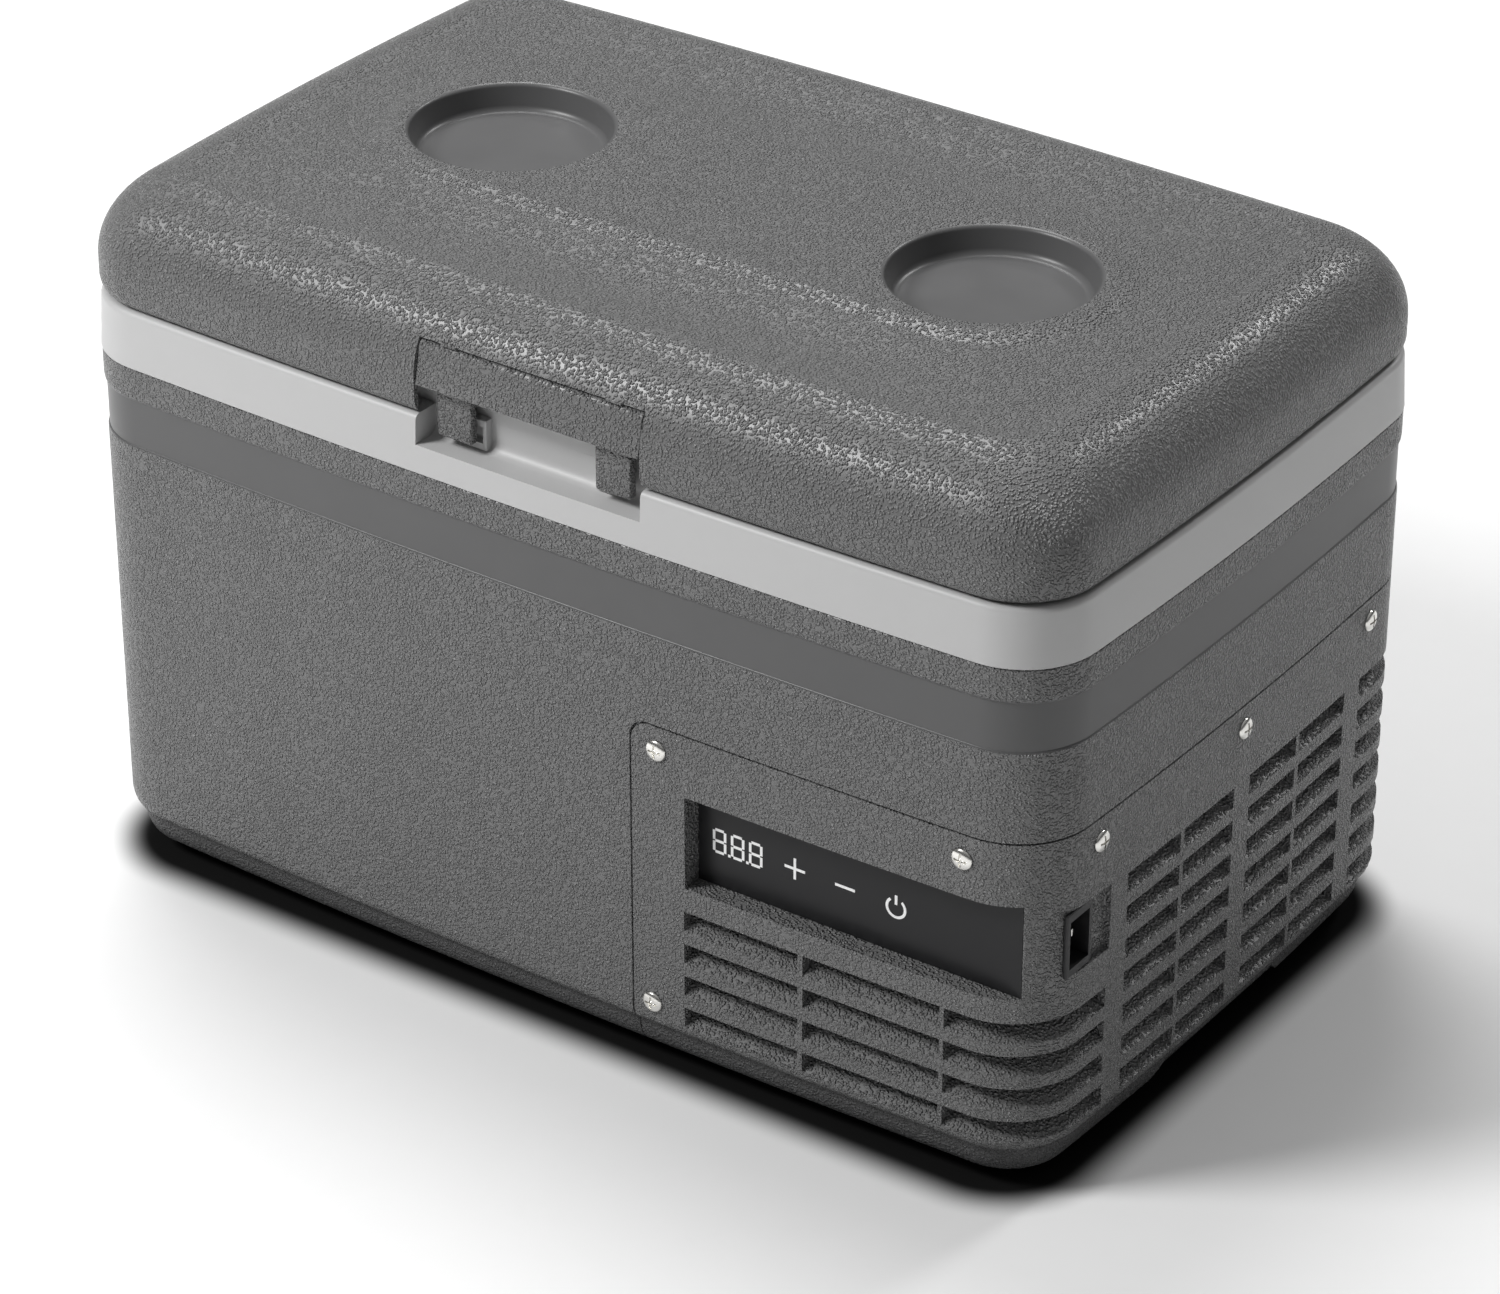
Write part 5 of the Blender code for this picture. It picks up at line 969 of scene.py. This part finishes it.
# %% Rim pieces
def rim_profile():
    round_top = [
        (RIM_TAPER + RIM_ROUND * (1 - math.sin(t)), LID_Z - RIM_ROUND * (1 - math.cos(t)))
        for t in reversed(quarter_turns(6))
    ]
    inner = UPSTAND_INSET + UPSTAND_WALL
    under = LID_Z - RIM_WALL
    return [
        (FIT, RIM_Z),
        (0, RIM_Z + FIT),
        *round_top,
        (UPSTAND_INSET, LID_Z),
        (UPSTAND_INSET, UPSTAND_TOP - RIM_TAPER),
        (UPSTAND_INSET + RIM_TAPER, UPSTAND_TOP),
        (inner, UPSTAND_TOP),
        (inner, under),
        (RIM_WALL + RIM_TAPER, under),
        (RIM_WALL, RIM_Z),
    ]


def round_end(y, z, radius, steps, up=1):
    """Half circle about (y, z), over it or, with up at -1, under it."""
    turns = [math.pi * i / steps for i in range(steps + 1)]
    return [(y + radius * math.cos(t), z + up * radius * math.sin(t)) for t in turns]


def knuckle_outline(foot_z):
    """Round end on the hinge axis with straight sides to a foot, as (y, z)."""
    cap = round_end(HINGE_Y, HINGE_Z, KNUCKLE_RADIUS, 16, 1 if foot_z < HINGE_Z else -1)
    return [*cap, (HINGE_Y - KNUCKLE_RADIUS, foot_z), (HINGE_Y + KNUCKLE_RADIUS, foot_z)]


def catch(side):
    """C-shaped post on the pocket's back wall, behind the inner edge of a latch leg."""
    start = LATCH_HALF - LEG_END - LEG_WIDTH - CATCH_REACH
    back = -(WIDTH / 2 - UPSTAND_INSET)
    low = POCKET_FLOOR + CATCH_LIFT
    high = low + CATCH_HEIGHT
    near, far = sorted((side * start, side * (start + CATCH_WIDTH)))
    post = box("catch", (near, back - CATCH_DEPTH, low), (far, back + UPSTAND_WALL / 2, high))
    soften(post, 0.0005)
    near, far = sorted((side * (start + CATCH_WALL), side * (start + CATCH_WIDTH + PAST)))
    slot = box("catch slot", (near, back - PAST, low + CATCH_ARM), (far, back, high - CATCH_ARM))
    return carve(post, slot)


# %% Rim
back = -(WIDTH / 2 - UPSTAND_INSET)
pocket_half = LATCH_HALF + LATCH_GAP
bend = complex(back - POCKET_FILLET, POCKET_FLOOR + POCKET_FILLET)
sweep = [bend + cmath.rect(POCKET_FILLET, t - math.pi / 2) for t in quarter_turns(10)]
pocket_outline = [(-WIDTH, POCKET_FLOOR), *[(p.real, p.imag) for p in sweep]]
pocket_outline += [(back, UPSTAND_TOP + PAST), (-WIDTH, UPSTAND_TOP + PAST)]
rim = loft("rim", rim_profile(), ring=True)
weld(rim, box(
    "pocket housing",
    (-pocket_half - RIM_WALL, -(WIDTH / 2 - RIM_WALL), POCKET_FLOOR - RIM_WALL),
    (pocket_half + RIM_WALL, back + UPSTAND_WALL / 2, LID_Z - RIM_WALL / 2),
))
carve(rim, prism("pocket", pocket_outline, "X", -pocket_half, pocket_half))
for side in (-1, 1):
    weld(rim, catch(side))
    for ear in (-1, 1):
        x = side * HINGE_X + ear * (KNUCKLE_WIDTH + EAR_WIDTH + 2 * HINGE_GAP) / 2
        ear_outline = knuckle_outline(LID_Z - RIM_WALL / 2)
        weld(rim, prism("ear", ear_outline, "X", x - EAR_WIDTH / 2, x + EAR_WIDTH / 2))
    reach = KNUCKLE_WIDTH + EAR_WIDTH
    ends = [(side * HINGE_X + end * reach, HINGE_Y, HINGE_Z) for end in (-1, 1)]
    carve(rim, rod("ear bore", *ends, HINGE_PIN + FIT))
dress(rim, PALE)
settle(rim, "base", "pale_rim", "rim_frame")

# %% [markdown]
# ## Lid
# The lid's side rises to a wide round shoulder. On top, a raised stadium joins the two cup recesses,
# and a long shallow hollow lies in front of it and behind it. The cups are smooth inside.


# %% Lid surface
def plateau_rise(x, y):
    """1 on the raised stadium round the cups, falling to 0 past its slope."""
    distance = math.hypot(max(abs(x) - CUP_X, 0), y)
    share = min(max((distance - PLATEAU_RADIUS) / PLATEAU_SLOPE, 0), 1)
    return 1 - share * share * (3 - 2 * share)


def hollow(x, y):
    """Long shallow hollows in front of and behind the stadium."""
    across = (abs(y) - SCOOP_Y) / SCOOP_HALF_WIDTH
    length = x / SCOOP_HALF_LENGTH
    if abs(across) >= 1 or abs(length) >= 1:
        return 0
    return SCOOP_DEPTH * (1 - across * across) ** 2 * (1 - length * length)


def lid_top(x, y):
    return TOP_Z - (1 - plateau_rise(x, y)) * (CROWN_DROP + hollow(x, y))


def lid_loops(wall, start_z, rings):
    """Loops of the lid's skin at a depth inside it, from its side up to the crown."""
    spring_z = LID_Z + LID_SIDE_HEIGHT
    loops = [level(LID_INSET + wall, start_z, LID_CORNER_SHRINK)]
    radius = LID_SHOULDER - wall
    rise = TOP_Z - CROWN_DROP / 3 - wall - spring_z
    for t in quarter_turns(16)[:-1]:
        inset = LID_INSET + LID_SHOULDER - radius * math.cos(t)
        loops.append(level(inset, spring_z + rise * math.sin(t), LID_CORNER_SHRINK))
    for inset in rings:
        ring = level(inset, 0, LID_CORNER_SHRINK)
        loops.append([(x, y, lid_top(x, y) - wall) for x, y, _ in ring])
    return loops


def cup_cutter(x, grow):
    """Round recess with a rolled rim and a filleted floor; grown, it is the boss under it."""
    floor_z = TOP_Z - CUP_DEPTH - grow
    rim_radius = CUP_RADIUS + CUP_RIM_ROUND
    if grow:
        profile = [(rim_radius + grow, TOP_Z + PAST), (CUP_FLOOR_RADIUS + grow, floor_z)]
        return turned("cup boss", profile, 64, Matrix.Translation((x, 0, 0)))
    profile = [(rim_radius, TOP_Z + PAST), (rim_radius, TOP_Z + FIT / 3)]
    for t in quarter_turns(6)[1:]:
        drop = CUP_RIM_ROUND * (1 - math.cos(t))
        profile.append((rim_radius - CUP_RIM_ROUND * math.sin(t), TOP_Z - drop))
    for t in quarter_turns(8):
        drop = CUP_FILLET * (1 - math.sin(t))
        profile.append((CUP_FLOOR_RADIUS - CUP_FILLET * (1 - math.cos(t)), floor_z + drop))
    return turned("cup", profile, 128, Matrix.Translation((x, 0, 0)))


def notch_box(name, grow, low_z):
    """Room for the latch in the lid's front, or its housing when grown."""
    half = LATCH_HALF + LATCH_GAP + grow
    rear = -(WIDTH / 2 - NOTCH_DEPTH) + grow
    return box(name, (-half, -WIDTH, low_z), (half, rear, LATCH_Z + LATCH_BARREL + LATCH_GAP + grow))


def in_cup(centre):
    """1 inside the cups and on their rolled rims, 0 on the grain."""
    reach = math.hypot(abs(centre.x) - CUP_X, centre.y)
    sunk = TOP_Z - CUP_DEPTH - FIT < centre.z < TOP_Z - FIT / 10
    return 1 if sunk and reach < CUP_RADIUS + CUP_RIM_ROUND + FIT else 0


# %% Lid shell
rings = list(np.linspace(0.046, 0.124, 40))
underside = []
for t in reversed(quarter_turns(8)):
    tuck = LID_UNDERCUT * (1 - math.cos(t))
    z = LID_Z + FIT + (LID_UNDER_HEIGHT - FIT) * (1 - math.sin(t))
    underside.append(level(LID_INSET + tuck, z, LID_CORNER_SHRINK))
lid = skin("lid", underside[:-1] + lid_loops(0, LID_Z + LID_UNDER_HEIGHT, rings))
cavity = skin("lid cavity", lid_loops(LID_WALL, LID_Z - PAST, rings[::3]))
carve(cavity, *[cup_cutter(side * CUP_X, LID_WALL) for side in (-1, 1)])
carve(cavity, notch_box("notch housing", LID_WALL, UPSTAND_TOP + UPSTAND_WALL / 2))
carve(lid, *[cup_cutter(side * CUP_X, 0) for side in (-1, 1)], cavity)
mouth = level(LID_INSET + LID_UNDERCUT + FIT, LID_Z - PAST, LID_CORNER_SHRINK)
carve(lid, skin("lid mouth", [mouth, [(x, y, LID_Z + LID_UNDER_HEIGHT) for x, y, _ in mouth]]))
carve(lid, notch_box("latch notch", 0, LID_Z - PAST))
tab_z = LATCH_Z + LATCH_BARREL + FIT
for side in (-1, 1):
    near, far = sorted(side * (LATCH_HALF - end) for end in TAB_ENDS)
    high = (far, LATCH_Y + TAB_HALF_DEPTH, tab_z + LATCH_GAP + FIT)
    weld(lid, soften(box("tab", (near, LATCH_Y - TAB_HALF_DEPTH, tab_z), high), 0.0002))
    x = side * HINGE_X
    half = KNUCKLE_WIDTH / 2
    room = half + EAR_WIDTH + HINGE_GAP + HINGE_ROOM
    low = (x - room, HINGE_Y - KNUCKLE_RADIUS - HINGE_ROOM, LID_Z - PAST)
    carve(lid, box("hinge notch", low, (x + room, WIDTH, HINGE_Z + KNUCKLE_RADIUS + HINGE_ROOM)))
    weld(lid, prism("knuckle", knuckle_outline(HINGE_Z + KNUCKLE_RISE), "X", x - half, x + half))
    ends = [(x + end * KNUCKLE_WIDTH, HINGE_Y, HINGE_Z) for end in (-1, 1)]
    carve(lid, rod("knuckle bore", *ends, HINGE_PIN + FIT))
dress(lid, GRAIN, SMOOTH, choose=in_cup)
settle(lid, "lid", "grained_dark", "lid_shell")

# %% [markdown]
# ## Latch
# The latch is a bar that turns about its upper edge on two pins, with two legs that reach down into
# the rim's pocket in front of the catches.

# %% Latch bar and legs
foot_front = -(WIDTH / 2 - LID_INSET - FIT)
barrel = round_end(LATCH_Y, LATCH_Z, LATCH_BARREL, 12)
bar_outline = [*barrel, (foot_front, LATCH_FOOT_Z), (foot_front + LATCH_THICKNESS, LATCH_FOOT_Z)]
latch = soften(prism("latch", bar_outline, "X", -LATCH_HALF, LATCH_HALF), 0.0016, 4)
leg_front = -(WIDTH / 2 - LEG_INSET)
for side in (-1, 1):
    outer = side * (LATCH_HALF - LEG_END)
    near, far = sorted((outer, outer - side * LEG_WIDTH))
    low = (near, leg_front, POCKET_FLOOR + LEG_CLEAR)
    high = (far, leg_front + LEG_THICKNESS, LATCH_FOOT_Z + LEG_THICKNESS)
    weld(latch, soften(box("leg", low, high), 0.0012))
dress(latch, GRAIN)
settle(latch, "latch", "grained_dark", "latch")

# %% [markdown]
# ## Inside
# With the lid up, the camera sees the stepped tub, the lid's tray and the seal between them.


# %% Tub
def rounded_outline(x_low, x_high, half_y, radius, steps=12):
    corners = [(x_high, -half_y, -1), (x_high, half_y, 0), (x_low, half_y, 1), (x_low, -half_y, 2)]
    points = []
    for x, y, quarter in corners:
        inward = math.copysign(radius, x - (x_low + x_high) / 2)
        centre = complex(x - inward, y - math.copysign(radius, y))
        turns = [math.pi / 2 * (quarter + i / steps) for i in range(steps + 1)]
        points += [centre + cmath.rect(radius, t) for t in turns]
    return points


def tub_part(x_high, floor_z, top_z, grow):
    """One step of the tub as a drafted solid with a rounded floor edge."""
    x_low, half_y = -(LENGTH / 2 - TUB_INSET), WIDTH / 2 - TUB_INSET
    stations = []
    for t in reversed(quarter_turns(5)):
        z = floor_z - grow + TUB_FILLET * (1 - math.sin(t))
        stations.append((z, TUB_DRAFT + TUB_FILLET * (1 - math.cos(t))))
    loops = []
    for z, tuck in [*stations, (top_z, 0)]:
        sides = (x_low + tuck - grow, x_high - tuck + grow, half_y - tuck + grow)
        loops.append([(p.real, p.imag, z) for p in rounded_outline(*sides, TUB_CORNER + grow)])
    return skin("tub part", loops)


def tub_parts(grow, top_z):
    shallow = tub_part(LENGTH / 2 - TUB_INSET, TUB_STEP_Z, top_z, grow)
    return [shallow, tub_part(TUB_STEP_X, TUB_FLOOR_Z, TUB_STEP_Z + TUB_CORNER, grow)]


flange = UPSTAND_INSET + UPSTAND_WALL + FIT
tub = loft("tub", [(flange, UPSTAND_TOP - TUB_WALL), (flange, UPSTAND_TOP)])
weld(tub, *tub_parts(TUB_WALL, UPSTAND_TOP - TUB_WALL / 2))
carve(tub, *tub_parts(0, UPSTAND_TOP + PAST))
dress(tub, LINER)
settle(tub, "base", "liner_grey", "inner_liner")

# %% Lid tray and seal
edge = LID_INSET + LID_WALL + LID_PLATE_GAP
upper_z = LID_PLATE_Z + LID_PLATE_WALL
tray = skin("lid_tray", [
    level(PLUG_INSET + LID_PLATE_WALL, upper_z - PLUG_DROP),
    level(PLUG_INSET + LID_PLATE_WALL, upper_z),
    level(edge, upper_z, LID_CORNER_SHRINK),
    level(edge, LID_PLATE_Z, LID_CORNER_SHRINK),
    level(PLUG_INSET, LID_PLATE_Z),
    level(PLUG_INSET, LID_PLATE_Z - PLUG_DROP),
])
carve(tray, notch_box("tray notch", LID_WALL + FIT, LID_Z - PAST))
for side in (-1, 1):
    half = KNUCKLE_WIDTH / 2 + FIT
    low = (side * HINGE_X - half, HINGE_Y - KNUCKLE_RADIUS - FIT, LID_Z - PAST)
    carve(tray, box("knuckle room", low, (side * HINGE_X + half, WIDTH, HINGE_Z + KNUCKLE_RISE + FIT)))
dress(tray, LINER)
settle(tray, "lid", "liner_grey", "lid_liner")
seal_low, seal_high = UPSTAND_TOP + FIT, LID_PLATE_Z - FIT
seal = loft("seal", [
    (SEAL_INNER, seal_high),
    (SEAL_INNER, seal_low + SEAL_ROUND),
    (SEAL_INNER - SEAL_ROUND, seal_low),
    (SEAL_OUTER + SEAL_ROUND, seal_low),
    (SEAL_OUTER, seal_low + SEAL_ROUND),
    (SEAL_OUTER, seal_high),
], ring=True)
dress(seal, RUBBER)
settle(seal, "lid", "rubber", "lid_gasket")

# %% [markdown]
# ## Machinery
# The machinery, foams and pins show as their CAD solids, and each takes the finish of its record slot.

# %% Machinery finishes
for row in frame["record"]["subparts"]:
    if row["material_slot"] in INSIDE:
        frame["nodes"][row["node"]].data.materials[0] = INSIDE[row["material_slot"]]
        print(f"{row['node']}: {row['material_slot']}")

# %% [markdown]
# ## Stage and camera
# The floor is pale and the light is soft: a wide lamp above and behind, a smaller one from the left
# front and a weak one from the right rear that catches the grain. Under the body the ground's colour
# goes dark, a painted contact shadow, as in the photo. The camera stands where the photo's did.

# %% Floor, light and camera
scene = bpy.context.scene
PHOTO_SIZE = (1500, 1294)
FOCAL_PIXELS = 5399
SENSOR = 36.0
MIDDLE = (0, 0, 0.3)


def floor_with_painted_shadow(pale, dark, start, fade):
    """Pale ground with a painted shadow: dark under the body up to start inside its outline, with a
    soft edge.
    """
    made = surface("floor", (pale, pale, pale), 0.9, mottle_and_grain_shade=0.01, wave=0.0, shine=0.0)
    nodes = made.node_tree.nodes
    link = linker(made.node_tree)
    straight = CORNER_RADIUS + start
    straights = (LENGTH / 2 - straight, WIDTH / 2 - straight, 1.0)
    node, output = nodes.new("ShaderNodeTexCoord"), "Object"
    steps = {"ABSOLUTE": None, "SUBTRACT": straights, "MAXIMUM": (0.0, 0.0, 0.0), "LENGTH": None}
    for operation, second in steps.items():
        step = nodes.new("ShaderNodeVectorMath")
        step.operation = operation
        if second:
            step.inputs[1].default_value = second
        link(node, output, step, 0)
        node, output = step, "Value" if operation == "LENGTH" else "Vector"
    share = nodes.new("ShaderNodeMapRange")
    share.interpolation_type = "SMOOTHSTEP"
    fill(share, From_Min=CORNER_RADIUS, From_Max=CORNER_RADIUS + fade)
    # Painted shadow: the ground's colour goes dark under the body and blends into the pale ground.
    shadow_mix = nodes.new("ShaderNodeMix")
    shadow_mix.data_type = "RGBA"
    shadow_mix.inputs["A"].default_value = (dark, dark, dark, 1.0)
    shader = nodes["Principled BSDF"]
    link(node, output, share, "Value")
    link(share, "Result", shadow_mix, "Factor")
    link(shader.inputs["Base Color"].links[0].from_node, "Result", shadow_mix, "B")
    link(shadow_mix, "Result", shader, "Base Color")
    return made


floor = box("floor", (-6, -6, -0.02), (6, 6, -0.0002))
# The floor's colour carries a painted contact shadow under the body.
dress(floor, floor_with_painted_shadow(pale=0.84, dark=0.01, start=0.009, fade=0.024))

world = bpy.data.worlds.new("soft surround")
world.use_nodes = True
sky = world.node_tree.nodes
direction = sky.new("ShaderNodeTexCoord")
height = sky.new("ShaderNodeSeparateXYZ")
glow = fill(sky.new("ShaderNodeMapRange"), To_Min=0.04, To_Max=0.38)
fill(sky["Background"], Color=(1.0, 1.0, 1.0, 1.0))
link = linker(world.node_tree)
link(direction, "Generated", height, "Vector")
link(height, "Z", glow, "Value")
link(glow, "Result", sky["Background"], "Strength")
scene.world = world


def lamp(name, place, size, power):
    data = bpy.data.lights.new(name, "AREA")
    data.shape = "DISK"
    data.size = size
    data.energy = power
    made = bpy.data.objects.new(name, data)
    scene.collection.objects.link(made)
    made.location = place
    made.rotation_euler = (Vector(MIDDLE) - Vector(place)).to_track_quat("-Z", "Y").to_euler()
    return made


lamp("top lamp", (-1.2, 1.0, 3.4), 1.8, 80.0)
lamp("key lamp", (-1.2, -1.5, 2.0), 0.8, 54.0)
lamp("edge lamp", (0.7, 2.6, 2.4), 0.6, 30.0)

BACK = Vector((0.4986, -0.7058, 0.5031)).normalized()
camera = bpy.data.objects.new("camera", bpy.data.cameras.new("camera"))
scene.collection.objects.link(camera)
camera.location = (1.3367, -1.8888, 1.4750)
camera.rotation_euler = BACK.to_track_quat("Z", "Y").to_euler()
camera.data.sensor_fit = "HORIZONTAL"
camera.data.sensor_width = SENSOR
camera.data.lens = SENSOR * FOCAL_PIXELS / PHOTO_SIZE[0]
scene.camera = camera
scene.render.resolution_x, scene.render.resolution_y = PHOTO_SIZE
scene.view_settings.view_transform = "Standard"
